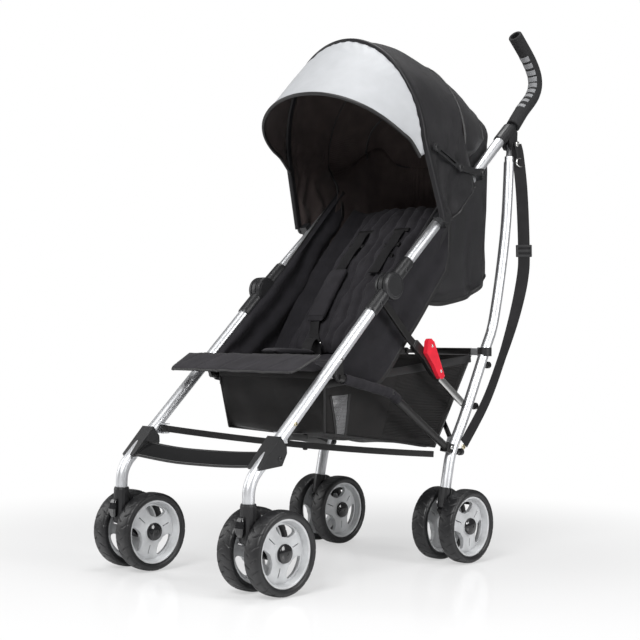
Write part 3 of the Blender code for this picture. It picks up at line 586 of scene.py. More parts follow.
def world():
    """A dim fill that the camera sees as white."""
    made = bpy.data.worlds.new("studio")
    bpy.context.scene.world = made
    made.use_nodes = True
    tree = made.node_tree
    tree.nodes.clear()
    out = new_node(tree, "ShaderNodeOutputWorld")
    fill = new_node(tree, "ShaderNodeBackground", Color=WHITE, Strength=FILL)
    white = new_node(tree, "ShaderNodeBackground", Color=WHITE, Strength=1.0)
    mix_into(out.inputs[0], tree, white_seen(tree), fill, white)


def floor():
    """A glossy white floor that fades into the background away from the part."""
    look = Look("floor", (0.94, 0.94, 0.945), 0.16, Specular_IOR_Level=0.42)
    tree = look.tree
    glow = look.node("ShaderNodeEmission", Color=WHITE)
    place = look.node("ShaderNodeTexCoord")
    far = look.node("ShaderNodeVectorMath", operation="LENGTH")
    look.link(place.outputs["Object"], far.inputs[0])
    fade = look.node("ShaderNodeMapRange", interpolation_type="SMOOTHSTEP",
                     **{"From Min": FLOOR_FADE[0], "From Max": FLOOR_FADE[1],
                        "To Min": FLOOR_GLOW})
    look.link(far.outputs["Value"], fade.inputs["Value"])
    share = combined(tree, "MULTIPLY", fade.outputs["Result"], white_seen(tree))
    mix_into(tree.nodes["Material Output"].inputs[0], tree, share, look.shader, glow)
    LOOKS["floor"] = look.mat
    bm = bmesh.new()
    bmesh.ops.create_circle(bm, cap_ends=True, radius=6.0, segments=96)
    obj = add("floor", bm, "floor")
    obj.location = (0, 0, -FLOOR_DROP)


def studio():
    camera()
    world()
    floor()
    for values in LAMPS:
        lamp(*values)


# Metal and plastic of the CAD: look and width of the rounded edges

FINISHES = {
    "caster_fork": ("black", 0.0007), "rear_axle_block": ("black", 0.0007),
    "brake_pedal": ("black", 0.0006), "front_leg": ("aluminium", 0.0003),
    "handle_tube": ("black", 0.0006), "upper_bracket": ("black", 0.0008),
    "footrest_bracket": ("black", 0.0010), "rear_leg": ("aluminium", 0.0004),
    "rear_bar": ("powder", 0.0005), "rear_strut": ("powder", 0.0005),
    "floor_bar": ("powder", 0.0006), "seat_tube": ("powder", 0.0006),
    "side_brace": ("powder", 0.0007), "red_latch": ("red", 0.0012),
    "canopy_stay": ("black", 0.0006), "swivel_lock": ("gloss", 0.0006),
}


def finish_cad():
    for name, obj in frame["nodes"].items():
        for kind, (look, width) in FINISHES.items():
            if name.startswith(kind):
                for slot in obj.material_slots:
                    slot.material = LOOKS[look]
                soften(obj, width)


# Wheels

WINDOW_OUTER_R = 0.0468
WINDOW_INNER_R = 0.0262
SLOT_REACH = (0.0240, 0.0400)
AXLE_R = 0.0050
AXLE_HALF = 0.0330
GROOVES = 22
GROOVE_HALF = 0.0011
GROOVE_DEPTH = 0.0013
REAR_WHEEL_TURN = math.radians(22)
FIRST_SPOKE = 18


def tyre_mesh():
    """The foam tyre about the origin: a crowned tread with short slanting grooves each side."""
    outline = [(-0.0136, RIM_R + 0.0002), (-0.0156, RIM_R + 0.0022), (-TYRE_HALF, RIM_R + 0.0050),
               (-TYRE_HALF, RIM_R + 0.0078), (-0.0160, 0.0660), (-0.0146, 0.0680),
               (-0.0122, 0.0692), (-0.0090, 0.0697), (-0.0060, 0.0699), (-0.0030, TYRE_R)]
    fine = []
    for (a0, r0), (a1, r1) in zip(outline, outline[1:]):
        fine += [(a0, r0), ((a0 + a1) / 2, (r0 + r1) / 2)]
    fine.append(outline[-1])
    profile = fine + [(0, TYRE_R)] + [(-a, r) for a, r in reversed(fine)]
    sides = GROOVES * 18
    rings = []
    for a, r in profile:
        hand = 0.0 if a < 0 else 0.5
        slant = abs(a) / TYRE_HALF
        grooved = 0.0015 < abs(a) and r > 0.0625
        points = []
        for k in range(sides):
            turn = k / sides
            phase = (turn * GROOVES + hand + 0.55 * slant) % 1.0
            near = abs(phase - 0.5) * (TURN * TYRE_R / GROOVES)
            cut = GROOVE_DEPTH * max(0.0, 1 - (near / GROOVE_HALF) ** 2) if grooved else 0
            points.append(Vector((a, (r - cut) * math.sin(TURN * turn),
                                  -(r - cut) * math.cos(TURN * turn))))
        rings.append(points)
    return lofted(rings, closed=True)


def window_cutter(middle):
    """A rounded window between two spokes, as a prism across."""
    points = []
    for radius, start, end in ((WINDOW_OUTER_R, middle + 20, middle + 100),
                               (WINDOW_INNER_R, middle + 78, middle + 42)):
        points += [at(0, along((0, 0), math.radians(a), radius)) for a in spread(start, end, 12)]
    count = len(points)
    for _ in range(3):
        points = [points[k - 1] * 0.25 + points[k] * 0.50 + points[(k + 1) % count] * 0.25
                  for k in range(count)]
    return lofted([[p + X_AXIS * reach for p in points] for reach in (-0.03, 0.03)])


def slot_cutter(middle):
    """A narrow slot down the middle of a spoke."""
    run = at(0, along((0, 0), math.radians(middle), 1))
    return swept([run * reach for reach in SLOT_REACH], rounded(0.03, 0.0010, 0.0009))


def rim_mesh():
    """One dished rim with three broad slotted spokes, facing +X."""
    barrel = spun([(-0.0126, 0.0535), (-0.0126, RIM_R), (0.0126, RIM_R), (0.0126, 0.0545),
                   (0.0118, 0.0532), (0.0060, 0.0520), (0.0015, 0.0500), (-0.0040, 0.0500),
                   (-0.0100, 0.0520)], sides=96, closed=True)
    plate = spun([(-0.0130, 0.0), (-0.0130, 0.0120), (-0.0060, 0.0160), (-0.0045, 0.0300),
                  (-0.0045, 0.0508), (0.0005, 0.0508), (0.0022, 0.0440), (0.0040, 0.0300),
                  (0.0052, 0.0180), (0.0085, 0.0150), (0.0085, 0.0)], sides=96)
    obj = add("rim", plate, "rim")
    helpers = [add("cutter", cutter(FIRST_SPOKE + 120 * k), "rim")
               for cutter in (window_cutter, slot_cutter) for k in range(3)]
    for helper in helpers:
        cut = obj.modifiers.new("cut", "BOOLEAN")
        cut.object = helper
        cut.operation = "DIFFERENCE"
        cut.solver = "EXACT"
    applied(obj)
    for helper in helpers:
        bpy.data.objects.remove(helper, do_unlink=True)
    soften(obj, 0.0011, 3, 38)
    applied(obj)
    bm = bmesh.new()
    bm.from_mesh(obj.data)
    bpy.data.objects.remove(obj, do_unlink=True)
    return join([bm, barrel])


def cap_mesh():
    """The glossy domed hub cap with its small middle hole."""
    return spun([(0.0070, 0.0), (0.0070, 0.0158), (0.0100, 0.0162), (0.0126, 0.0150),
                 (0.0146, 0.0112), (0.0156, 0.0060), (0.0158, 0.0024), (0.0150, 0.0022),
                 (0.0150, 0.0)])


def wheels():
    """Four pairs of wheels, the rear ones turned on their axle as the photograph has them."""
    shapes = {"tyre": add("tyre_shape", tyre_mesh(), "tyre", 50),
              "rim": add("rim_shape", rim_mesh(), "rim"),
              "cap": add("cap_shape", cap_mesh(), "gloss", 30)}
    for place, axle in (("front", FRONT_AXLE), ("rear", REAR_AXLE)):
        if place == "rear":
            for shape in shapes.values():
                shape.data = shape.data.copy()
                shape.data.transform(Matrix.Rotation(REAR_WHEEL_TURN, 4, "X"))
        for side, s in SIDES:
            centre = at(s * SIDE_X, axle)
            body = f"wheels_{place}_{side}"
            shaft = spun([(-AXLE_HALF, AXLE_R), (AXLE_HALF, AXLE_R)], centre, sides=24)
            fixed(f"axle_{place}_{side}", shaft, "steel", body)
            for where, face in (("outer", s), ("inner", -s)):
                middle = Matrix.Translation(centre + X_AXIS * face * PAIR_OFFSET)
                turn = Matrix.Rotation(0 if face > 0 else math.pi, 4, "Z")
                for kind, shape in shapes.items():
                    obj = bpy.data.objects.new(f"{kind}_{place}_{side}_{where}_piece", shape.data)
                    bpy.context.scene.collection.objects.link(obj)
                    obj.matrix_world = middle @ turn
                    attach(obj, body)
                    if kind == "tyre":
                        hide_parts(f"tyre_{place}_{side}_{where}")
                    if kind == "rim":
                        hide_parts(f"wheelset_{place}_{side}")
    for shape in shapes.values():
        bpy.data.objects.remove(shape, do_unlink=True)


# Tubes, knuckles and grips

SKIN = 0.0009
COLLAR_HALF = 0.0086
COLLAR_R = 0.0142
KNOB_INNER = 0.0150
SCREW_REACH = 0.0470
PAD_START = 0.20
PAD_STEP = 0.073
SLEEVE_START = SOCKET_REACH - 0.030
LEG_BEND_R = 0.055


def frame_tubes():
    """Smooth bright skins over the CAD tubes, and the black collar of the cross bar."""
    down = SLOPE_LOWER + math.pi
    for side, s in SIDES:
        x = s * SIDE_X
        corner = along(KNUCKLE, down, (KNUCKLE[0] - STEM_Y) / math.cos(SLOPE_LOWER))
        top = along(KNUCKLE, down, SLEEVE_START)
        lines = {"front_leg": fillet(in_plane(x, (STEM_Y, STEM_TOP), corner, top), LEG_BEND_R, 16),
                 "handle_tube": in_plane(x, along(KNUCKLE, SLOPE_UPPER, SLEEVE_START),
                                         along(KNUCKLE, SLOPE_UPPER, HANDLE_REACH)),
                 "rear_leg": smooth_path(in_plane(x, *REAR_LEG_LINE), 8)[1:]}
        for kind, line in lines.items():
            fixed(f"{kind}_{side}_skin", swept(line, circle(TUBE_R + SKIN, 48)), "aluminium",
                  f"{side}_side")
        y, z = COLLAR
        collar = swept(in_plane(x, (y, z - COLLAR_HALF), (y, z + COLLAR_HALF)),
                       circle(COLLAR_R, 40))
        fixed(f"rear_leg_collar_{side}", collar, "black", f"{side}_side")


def knuckles():
    """The ribbed knob with its two tube sleeves."""
    knob = [(0.0, 0.0), (0.0, 0.0190), (0.0008, 0.0200), (0.0008, 0.0225), (0.0020, 0.0245),
            (0.0040, 0.0256), (0.0086, 0.0260), (0.0094, 0.0240), (0.0106, 0.0240),
            (0.0114, 0.0260), (0.0196, 0.0260), (0.0204, 0.0240), (0.0216, 0.0240),
            (0.0224, 0.0260), (0.0270, 0.0256), (0.0290, 0.0246), (0.0302, 0.0225),
            (0.0302, 0.0200), (0.0310, 0.0190), (0.0310, 0.0)]
    sleeve = [(0.010, 0.0128), (0.030, 0.0130), (0.066, 0.0130), (0.0705, 0.0128), (0.0720, 0.0120)]
    for side, s in SIDES:
        x = s * SIDE_X
        parts = [spun([(s * (a - KNOB_INNER), r) for a, r in knob], at(x, KNUCKLE), sides=72)]
        for end, slope in (("low", SLOPE_LOWER + math.pi), ("high", SLOPE_UPPER)):
            run = [at(x, along(KNUCKLE, slope, d)) for d, _ in sleeve]
            tangent = (run[-1] - run[0]).normalized()
            parts.append(lofted([ring(p, tangent, r) for p, (_, r) in zip(run, sleeve)]))
            screw = at(x + s * 0.0124, along(KNUCKLE, slope, SCREW_REACH))
            rivet(f"knuckle_screw_{side}_{end}", screw, 0.0042, 0.0018, s, "black", f"{side}_side")
        obj = fixed(f"knuckle_{side}_piece", join(parts), "black", f"{side}_side", 30)
        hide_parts(f"knuckle_{side}")


def rivet(name, centre, radius, height, s, look, body):
    """A round head standing on a face, with a dimple in its middle."""
    dimple = 0.45 * radius
    profile = [(0.0, 0.0), (0.0, radius), (0.35 * height, radius), (0.8 * height, 0.82 * radius),
               (height, 0.62 * radius), (height, dimple), (0.45 * height, 0.9 * dimple),
               (0.45 * height, 0.0)]
    fixed(name, spun([(s * a, r) for a, r in profile], centre, sides=24), look, body, 28)


# Name, distance out from the side's middle, (y, z), radius, height and look
SIDE_HEADS = (
    ("seat_bolt", TUBE_R + 0.0004, (-0.1930, 0.3852), 0.0036, 0.0022, "steel"),
    ("floor_bolt", TUBE_R + 0.0004, (-0.3050, 0.2765), 0.0040, 0.0034, "brass"),
    ("foot_screw", 0.0150, (-0.3440, 0.2210), 0.0040, 0.0014, "black"),
    ("bracket_rivet", 0.0104, (0.3220, 0.8290), 0.0062, 0.0026, "black"),
    ("bracket_screw", 0.0128, (0.3010, 0.8460), 0.0034, 0.0012, "black"),
    ("sleeve_bolt", 0.0088, (-0.0495, 0.3254), 0.0034, 0.0020, "black"),
    ("clevis_bolt", 0.0098, (0.1265, 0.2195), 0.0046, 0.0024, "steel"),
)
LEG_STUBS = ((0.2445, 0.3778), (0.2030, 0.2967), (0.1580, 0.2088))
BRACE_LINK = ((0.1687, 0.3050), (0.0960, 0.3527))
LATCH_FACE = 0.0149
LATCH_RIVETS = ((0.0840, 0.3655), (0.0560, 0.4130))
# Distance out, (y, z) and radius
STAY_RIVETS = ((0.0280, STAY_PIVOT, 0.0062), (0.0290, (0.1190, 0.7560), 0.0066),
               (0.0280, (0.0440, 0.7850), 0.0056))


def rivets():
    """Bolt and rivet heads, the stubs on the rear legs and the link over the lower brace."""
    stub = [(-0.010, 0.0050), (0.0010, 0.0050), (0.0012, 0.0068), (0.0090, 0.0068),
            (0.0102, 0.0056), (0.0102, 0.0)]
    for side, s in SIDES:
        body = f"{side}_side"
        x = s * SIDE_X
        for name, out, place, radius, height, look in SIDE_HEADS:
            rivet(f"{name}_{side}", at(x + s * out, place), radius, height, s, look, body)
        for k, place in enumerate(LEG_STUBS):
            fixed(f"leg_stub_{side}_{k}", spun(stub, at(s * 0.1680, place), "Y", 28), "black",
                  body, 30)
        link = swept(in_plane(x, *BRACE_LINK), rounded(0.0029, 0.0073, 0.0012))
        fixed(f"brace_link_{side}", link, "steel", body, 30)
        for k, place in enumerate(LATCH_RIVETS):
            rivet(f"latch_rivet_{side}_{k}", at(x + s * LATCH_FACE, place), 0.0030, 0.0012, s,
                  "steel", f"latch_{side}")
        for k, (out, place, radius) in enumerate(STAY_RIVETS):
            rivet(f"stay_rivet_{side}_{k}", at(x + s * out, place), radius, 0.0020, s, "black",
                  f"stay_{side}")


def grips():
    """Foam grips, open at their ends, with nine grey pads along the palm."""
    palm = [math.radians(a) for a in spread(-48, 48, 12)]
    for side, s in SIDES:
        line = smooth_path(in_plane(s * SIDE_X, *GRIP_LINE), 10)
        last = len(line) - 1
        parts = [swept(line, circle(GRIP_R, 40), caps=False)]
        for end, step in ((0, 1), (last, -1)):
            tangent = (line[end] - line[end + step]).normalized()
            mouth = ((0.0, GRIP_R), (0.0012, 0.0136), (0.0012, 0.0096), (-0.0090, 0.0092),
                     (-0.0090, 0.0002))
            parts.append(lofted([ring(line[end] + tangent * reach, tangent, radius)
                                 for reach, radius in mouth], caps=False))
        obj = fixed(f"grip_{side}_piece", join(parts), "grip", f"{side}_side", 45)
        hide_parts(f"grip_{side}")
        runs = distances(line)
        pads = []
        for k in range(9):
            place = (PAD_START + PAD_STEP * k) * runs[-1]
            low = max(i for i in range(last) if runs[i] <= place)
            p = line[low].lerp(line[low + 1], (place - runs[low]) / (runs[low + 1] - runs[low]))
            tangent = (line[low + 1] - line[low]).normalized()
            normal = tangent.cross(X_AXIS)
            if normal.y > 0:
                normal = -normal
            outs = [normal * math.cos(a) + X_AXIS * (s * math.sin(a)) for a in palm]
            half = 0.0050 + 0.00022 * k
            rings = []
            for reach, lift in ((-half, -0.0006), (-half * 0.8, 0.0005), (half * 0.8, 0.0005),
                                (half, -0.0006)):
                centre = p + tangent * reach
                rings.append([centre + out * (GRIP_R + lift) for out in outs]
                             + [centre + out * 0.0130 for out in reversed(outs)])
            pads.append(lofted(rings))
        fixed(f"grip_pads_{side}", join(pads), "pad", f"{side}_side", 30)


# Padded pieces

VOXEL = 0.005
PRESSURE = 4.0
SIM_FRAMES = 20


def puffed(obj, cap):
    """Fills out a padded piece by a short cloth simulation, no point moving further than cap."""
    grid = obj.modifiers.new("grid", "REMESH")
    grid.mode = "VOXEL"
    grid.voxel_size = VOXEL
    applied(obj)
    rest = [v.co.copy() for v in obj.data.vertices]
    cloth = obj.modifiers.new("cloth", "CLOTH")
    cloth.settings.use_pressure = True
    cloth.settings.uniform_pressure_force = PRESSURE
    cloth.settings.effector_weights.gravity = 0
    for step in range(1, SIM_FRAMES + 1):
        bpy.context.scene.frame_set(step)
    applied(obj)
    bpy.context.scene.frame_set(1)
    for vertex, start in zip(obj.data.vertices, rest):
        move = vertex.co - start
        if move.length > cap:
            vertex.co = start + move * (cap / move.length)
    finer = obj.modifiers.new("finer", "SUBSURF")
    finer.levels = finer.render_levels = 1
    applied(obj)
    obj.data.shade_smooth()
    return obj


def line_frame(pairs):
    """A curve in the plane x = 0, as (point, run, normal to its front, distance travelled)."""
    points = smooth_path(in_plane(0, *pairs), 8)
    out = []
    for p, run, travelled in zip(points, tangents(points), distances(points)):
        front = Vector((0, -run.z, run.y))
        out.append((p, run, front if front.z > 0 else -front, travelled))
    return out


def nearest(line, p):
    return min(line, key=lambda item: (item[0].y - p.y) ** 2 + (item[0].z - p.z) ** 2)


def slab(line, half, thickness):
    """A padded panel's start shape, along a line, as a closed body."""
    rings = []
    for k, (p, _, front, _) in enumerate(line):
        t = k / (len(line) - 1)
        end = min(1.0, 0.25 + 9 * min(t, 1 - t))
        upper, lower = [], []
        for u in spread(-1, 1, 10):
            edge = max(1 - abs(u) ** 5, 0) ** 0.5
            side = p + X_AXIS * (half(t) * u)
            upper.append(side + front * thickness * (0.25 + 0.75 * edge * end))
            lower.append(side - front * 0.0030)
        rings.append(upper + lower[::-1])
    return lofted(rings)


def shaped(obj, line, height):
    """Moves the front of a pad by height(x, distance along the line)."""
    for vertex in obj.data.vertices:
        p, run, front, travelled = nearest(line, vertex.co)
        lift = (vertex.co - p).dot(front)
        if lift > 0.001:
            along_run = travelled + (vertex.co - p).dot(run)
            vertex.co += front * height(vertex.co.x, along_run) * min(1.0, lift / 0.005)


def channel(value, depth, sharp=0.45):
    """A sewn channel wherever value is whole."""
    return depth * (abs(math.sin(math.pi * value)) ** sharp - 1)


# Seat

BACK = line_frame(BACK_LINE)
PAN = line_frame(PAN_LINE)
PAN_HALF = 0.1400
SLING_HALF = 0.1425
WING_X = 0.1460
WING_TOP = ((-0.2050, 0.3690), (-0.0950, 0.4750), (0.0150, 0.5830), (0.0900, 0.6640),
            (0.1600, 0.7390))
WING_LOW = ((-0.1830, 0.3560), (-0.0700, 0.3380), (0.0300, 0.4340), (0.0950, 0.5080),
            (0.1400, 0.5600))
FLAP_HALF = 0.1690
FLAP_HINGE = Vector((0, -0.2420, 0.3900))
FLAP_REACH = Vector((0, -0.0545, -0.0290))


def back_half(t):
    """Half the backrest pad's width: it narrows upwards and rounds off at its top."""
    return 0.1150 - 0.017 * t - 0.042 * max((t - 0.84) / 0.16, 0) ** 3


def back_ribs(x, s):
    """Wavy channels up the pad, and bowed ones across it."""
    wave = 0.0045 * math.sin(TURN * s / 0.118) + 0.0020 * math.sin(TURN * s / 0.047 + 1)
    ribs = channel((x + wave * (1 if x > 0 else -1)) / 0.0265 + 0.5, 0.0080, 0.62)
    rows = channel(s / 0.094 + 0.18 * math.cos(math.pi * x / 0.10), 0.0034, 0.50)
    return ribs + rows


def pan_ribs(x, s):
    return channel((x + 0.004 * math.sin(60 * s)) / 0.034 + 0.5, 0.0034)


def seat_pads():
    """The quilted backrest and seat pads, and the cloth sling behind the backrest."""
    back = puffed(add("backrest_pad", slab(BACK, back_half, 0.0115), "seat"), 0.007)
    shaped(back, BACK, back_ribs)
    pan = puffed(add("seat_pan_pad", slab(PAN, lambda t: PAN_HALF, 0.0085), "seat"), 0.006)
    shaped(pan, PAN, pan_ribs)
    for obj, body, node, fill in ((back, "backrest", "backrest", 0.6),
                                  (pan, "seat_unit", "seat_pan", 0.5)):
        folds_with(obj, body)
        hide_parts(node)
    grid = [[p + X_AXIS * (SLING_HALF * u)
             - front * (0.0062 - 0.0144 * max(abs(u) - 0.86, 0) / 0.14)
             for u in spread(-1, 1, 24)] for p, _, front, _ in BACK]
    cloth("backrest_sling", grid, "wing", "backrest", ["backrest_pad"])


def seat_wings():
    """The cloth sides, hung from the tubes; the right one shows its folds in the photograph."""
    for side, s in SIDES:
        body = f"{side}_side"
        amount = 0.0014 if side == "left" else 0.0058
        top = smooth_path(in_plane(s * WING_X, *WING_TOP), 13)
        low = smooth_path(in_plane(s * WING_X, *WING_LOW), 13)
        grid = [[a + Vector((s * 0.0095, -0.003, 0.0035)), a + Vector((s * 0.0060, -0.001, 0.0015))]
                + [a.lerp(b, t) for t in spread(0, 1, 28)] for a, b in zip(top, low)]

        def folds(u, v, p):
            edge = min(1.0, 6 * u, 6 * (1 - u) + 0.25)
            long_fold = math.sin(TURN * (2.3 * u + 0.5 * v + 0.25 * wrinkle(p, 0.09, 3)))
            pull = math.sin(TURN * (5.5 * v + 2.2 * u)) * max(0, 0.55 - v) * 0.9
            fine = wrinkle(p, 0.024, 7) * 0.45
            return amount * edge * (0.85 * long_fold + pull + fine)

        grid = displaced(grid, folds)
        cloth(f"seat_wing_{side}_piece", grid, "wing", body, [f"front_leg_{side}"],
              f"seat_wing_{side}", keep=None)
        hem = [row[-1] for row in grid] + grid[-1][-2::-1]
        fixed(f"wing_hem_{side}", swept(hem, rounded(0.0010, 0.0042, 0.0009)), "piping", body)
        edge = [row[0] for row in grid]
        fixed(f"wing_top_{side}", swept(edge, circle(0.0020, 10)), "piping", body)


def calf_flap():
    """The quilted flap in front of the seat, bound all round."""
    top, low = [], []
    for t in spread(0, 1, 24):
        centre = FLAP_HINGE + FLAP_REACH * t
        half = FLAP_HALF - 0.0090 * t - 0.006 * max((t - 0.75) / 0.25, 0) ** 2
        edge = 1 - 0.85 * (2 * t - 1) ** 6
        upper, lower = [], []
        for u in spread(-1, 1, 96):
            crown = max(1 - abs(u) ** 9, 0) ** 0.5
            seam = min(abs(((t * 0.55 + 2.6 * u + 10.5) % 1.0) - 0.5) / 0.055, 1.0)
            puff = (0.0018 + 0.0026 * crown * edge) * (0.45 + 0.55 * seam ** 0.5)
            ripple = 0.0014 * wrinkle(Vector((u * 0.17, t * 0.06, 0)), 0.028, 5) * crown
            upper.append(centre + Vector((half * u, 0, puff + ripple)))
            lower.append(centre + Vector((half * u, 0, -0.0012 - 0.0014 * crown * edge)))
        top.append(upper)
        low.append(lower)
    rings = [u + l[::-1] for u, l in zip(top, low)]
    obj = folding("calf_flap_piece", lofted(rings), "seat", "calf_flap", sharp=60)
    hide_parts("calf_flap")
    back = [row[0] for row in top[::-1]] + top[0][1:-1] + [row[-1] for row in top]
    for name, line in (("flap_binding_back", back), ("flap_binding_front", top[-1])):
        lowered = [p - Z_AXIS * 0.0012 for p in line]
        folding(name, swept(lowered, circle(0.0021, 8), Z_AXIS), "piping", "calf_flap")


# Canopy

BOW_SPRING = (0.0255, 0.7980)
BOW_APEX = (-0.0110, 1.0030)
VISOR_REACH = 0.118
VISOR_DROP = 0.122
# Foot, spring and apex of each hoop, and half its width at foot and spring
FRONT_HOOPS = (((0.0740, 0.6610), (0.0285, 0.7980), (-0.0070, 1.0030), 0.1852, 0.1791),
               ((0.1060, 0.6560), (0.0720, 0.8030), (0.0480, 1.0100), 0.1845, 0.1830),
               ((0.1440, 0.6910), (0.1120, 0.8080), (0.0960, 1.0020), 0.1830, 0.1810),
               ((0.1860, 0.7270), (0.1460, 0.8080), (0.1460, 0.9880), 0.1815, 0.1805))
# y of the top, half width, height of the top and (y, z) of the foot
REAR_STATIONS = ((0.1472, 0.1815, 0.9880, (0.0840, 0.4960)),
                 (0.1920, 0.1740, 0.9700, (0.1340, 0.4960)),
                 (0.2400, 0.1560, 0.9330, (0.2180, 0.5160)),
                 (0.2760, 0.1420, 0.8950, (0.2690, 0.5480)),
                 (0.2950, 0.1180, 0.8650, (0.2900, 0.5700)),
                 (0.3000, 0.0650, 0.8500, (0.2960, 0.5780)),
                 (0.3010, 0.0000, 0.8450, (0.2970, 0.5800)))


def crown(half, low, high, turns):
    """Half an ellipse from the left to the right, from the (y, z) low up to high."""
    angles = spread(0, math.pi, turns)
    return [Vector((half * math.cos(a), low[0] + (high[0] - low[0]) * math.sin(a),
                    low[1] + (high[1] - low[1]) * math.sin(a))) for a in angles]


def arch(foot, spring, apex, half_foot, half_spring, legs=2, turns=10):
    """Points of a hoop from the left foot over the apex to the right foot."""
    left = [at(half_foot, foot).lerp(at(half_spring, spring), k / legs) for k in range(legs)]
    return left + crown(half_spring, spring, apex, turns) + mirrored(left)


def tube_height(y):
    return KNUCKLE[1] + (y - KNUCKLE[0]) * math.tan(SLOPE_UPPER)


def hood_station(y_top, half, z_top, foot):
    """One hoop of the rear hood: down over the handle tubes to the back panel's hem."""
    knee_z = min(tube_height(y_top) + 0.0290, z_top - 0.060)
    spring_z = min(max(knee_z + 0.014, 0.8080), z_top - 0.030)
    knee = Vector((min(0.1500, half), y_top - 0.002, knee_z))
    low = at(min(0.1430, half), foot)
    spring = Vector((half, y_top, spring_z))
    middle = low.lerp(knee, 0.5) - X_AXIS * (0.5 * (knee.x - low.x))
    left = [low, middle, knee, knee.lerp(spring, 0.5)]
    return left + crown(half, (y_top, spring_z), (y_top, z_top), 8) + mirrored(left)


def bow():
    """The canopy's bow in its sleeve, and its flat feet on the pivots."""
    hoop = smooth_path(arch((0.0700, 0.6560), BOW_SPRING, BOW_APEX, 0.1905, 0.1790, 4, 24), 3)
    folding("bow_sleeve", swept(hoop, rounded(0.0072, 0.0054, 0.0046, 5), Y_AXIS), "hood",
            "canopy_front", 50)
    profile = [(-0.0028, 0.0), (-0.0028, 0.0100), (-0.0020, 0.0106), (0.0020, 0.0106),
               (0.0028, 0.0100), (0.0028, 0.0)]
    eyes = [spun(profile, at(s * HOOD_X, CANOPY_PIVOT), sides=32) for _, s in SIDES]
    stems = [swept([at(s * HOOD_X, CANOPY_PIVOT), at(s * 0.1902, (0.0650, 0.6720)),
                    at(s * 0.1890, (0.0590, 0.6910))], rounded(0.0026, 0.0060, 0.0020, 3))
             for _, s in SIDES]
    feet = folding("bow_feet", join(eyes + stems), "black", "canopy_front", 30)
    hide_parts("canopy_bow")


def front_folds(u, v, p):
    low = max(0.0, 0.86 - p.z)
    inner = min(1.0, 8 * v)
    pulls = 0.030 * low * math.sin(TURN * (2.6 * v + 9 * low + 0.8 * wrinkle(p, 0.06, 5)))
    ripples = 0.0020 * wrinkle(p, 0.045, 2) + 0.0010 * wrinkle(p, 0.018, 4)
    seam = 0.0016 * math.exp(-((v - 0.06) / 0.035) ** 2)
    return -inner * (ripples * (0.5 + 4.0 * low) + pulls) - seam


def rear_folds(u, v, p):
    hang = max(0.0, min(1.0, (0.80 - p.z) / 0.25))
    drape = 0.0036 * hang * math.sin(TURN * (5.5 * v + 0.9 * wrinkle(p, 0.12, 9)))
    return -(0.0018 * wrinkle(p, 0.060, 6) + 0.0008 * wrinkle(p, 0.020, 8) + drape)


def canopy():
    """The bow and the hood's two cloth shells, with their bindings and seams."""
    bow()
    front = displaced(refined([arch(*hoop) for hoop in FRONT_HOOPS], 6, 10), front_folds)
    cloth("hood_front_piece", front, "hood", "canopy_front", ["bow_sleeve"], "hood_front",
          keep=HOOD_KEEP, lining="lining", flip=True)
    for k, column in enumerate((0, -1)):
        edge = swept([row[column] for row in front], circle(0.0019, 8))
        folding(f"hood_tail_binding_{k}", edge, "piping", "canopy_front")

    rear = displaced(refined([hood_station(*values) for values in REAR_STATIONS], 4, 8), rear_folds)
    cloth("hood_rear_piece", rear, "hood", "seat_unit", ["handle_tube_left", "handle_tube_right"],
          "hood_rear", lining="lining", flip=True)
    for name, line in (("hood_seam_middle", rear[0]), ("hood_seam_back", rear[16])):
        folding(name, swept(line[8:-8], circle(0.0024, 8), Y_AXIS), "piping", "seat_unit")
    hem = [row[0] for row in rear] + [row[-1] for row in rear[::-1]]
    folding("hood_hem", swept(hem, rounded(0.0012, 0.0040, 0.0010)), "piping", "seat_unit")


def visor_puckers(u, v, p):
    near = math.exp(-v / 0.20) * min(1.0, 14 * v)
    ripple = math.sin(TURN * (u * 26 + 1.3 * wrinkle(p, 0.05, 3)))
    return -(0.0014 * near * ripple + 0.0020 * wrinkle(p, 0.050, 1) * (0.35 + near)
             + 0.0020 * math.sin(math.pi * v))


def visor():
    """The grey visor, reaching forward and down from the bow between its two feet."""
    base = arch((0.0275, 0.7720), (0.0206, 0.7980), (-0.0149, 1.0020), 0.1782, 0.1782, 1, 24)
    last = len(base) - 1
    rows = []
    for t in spread(0, 1, 8):
        reach = VISOR_REACH * t
        row = []
        for c, p in enumerate(base):
            rise = math.sin(math.pi * min(max(c - 1, 0), last - 2) / (last - 2))
            out = (1 - 0.92 * math.exp(-0.55 * min(c, last - c))) * (0.45 + 0.55 * rise)
            fall = 0.05 * reach * (1 - rise) + VISOR_DROP * t ** 1.25 * rise
            row.append(Vector((p.x * (1 - 0.045 * t), p.y - reach * out, p.z - fall)))
        rows.append(row)
    grid = displaced(refined(rows, 4, 5), visor_puckers)
    cloth("visor_piece", grid, "visor", "visor", ["bow_sleeve"], "visor", keep=HOOD_KEEP,
          thickness=0.0016, lining="lining")
    folding("visor_piping", swept(grid[-1], circle(0.0034, 10), Y_AXIS), "piping", "visor")


# Basket: its left corners, bottom and top

BASKET_FRONT = vectors((0.1240, -0.1780, 0.2536), (0.1360, -0.1930, 0.3470))
BASKET_REAR = vectors((0.1300, 0.1300, 0.2176), (0.1400, 0.2300, 0.3960))
BASKET_HEM = rounded(0.0014, 0.0075, 0.0012)
HEM_DROP = Z_AXIS * 0.006


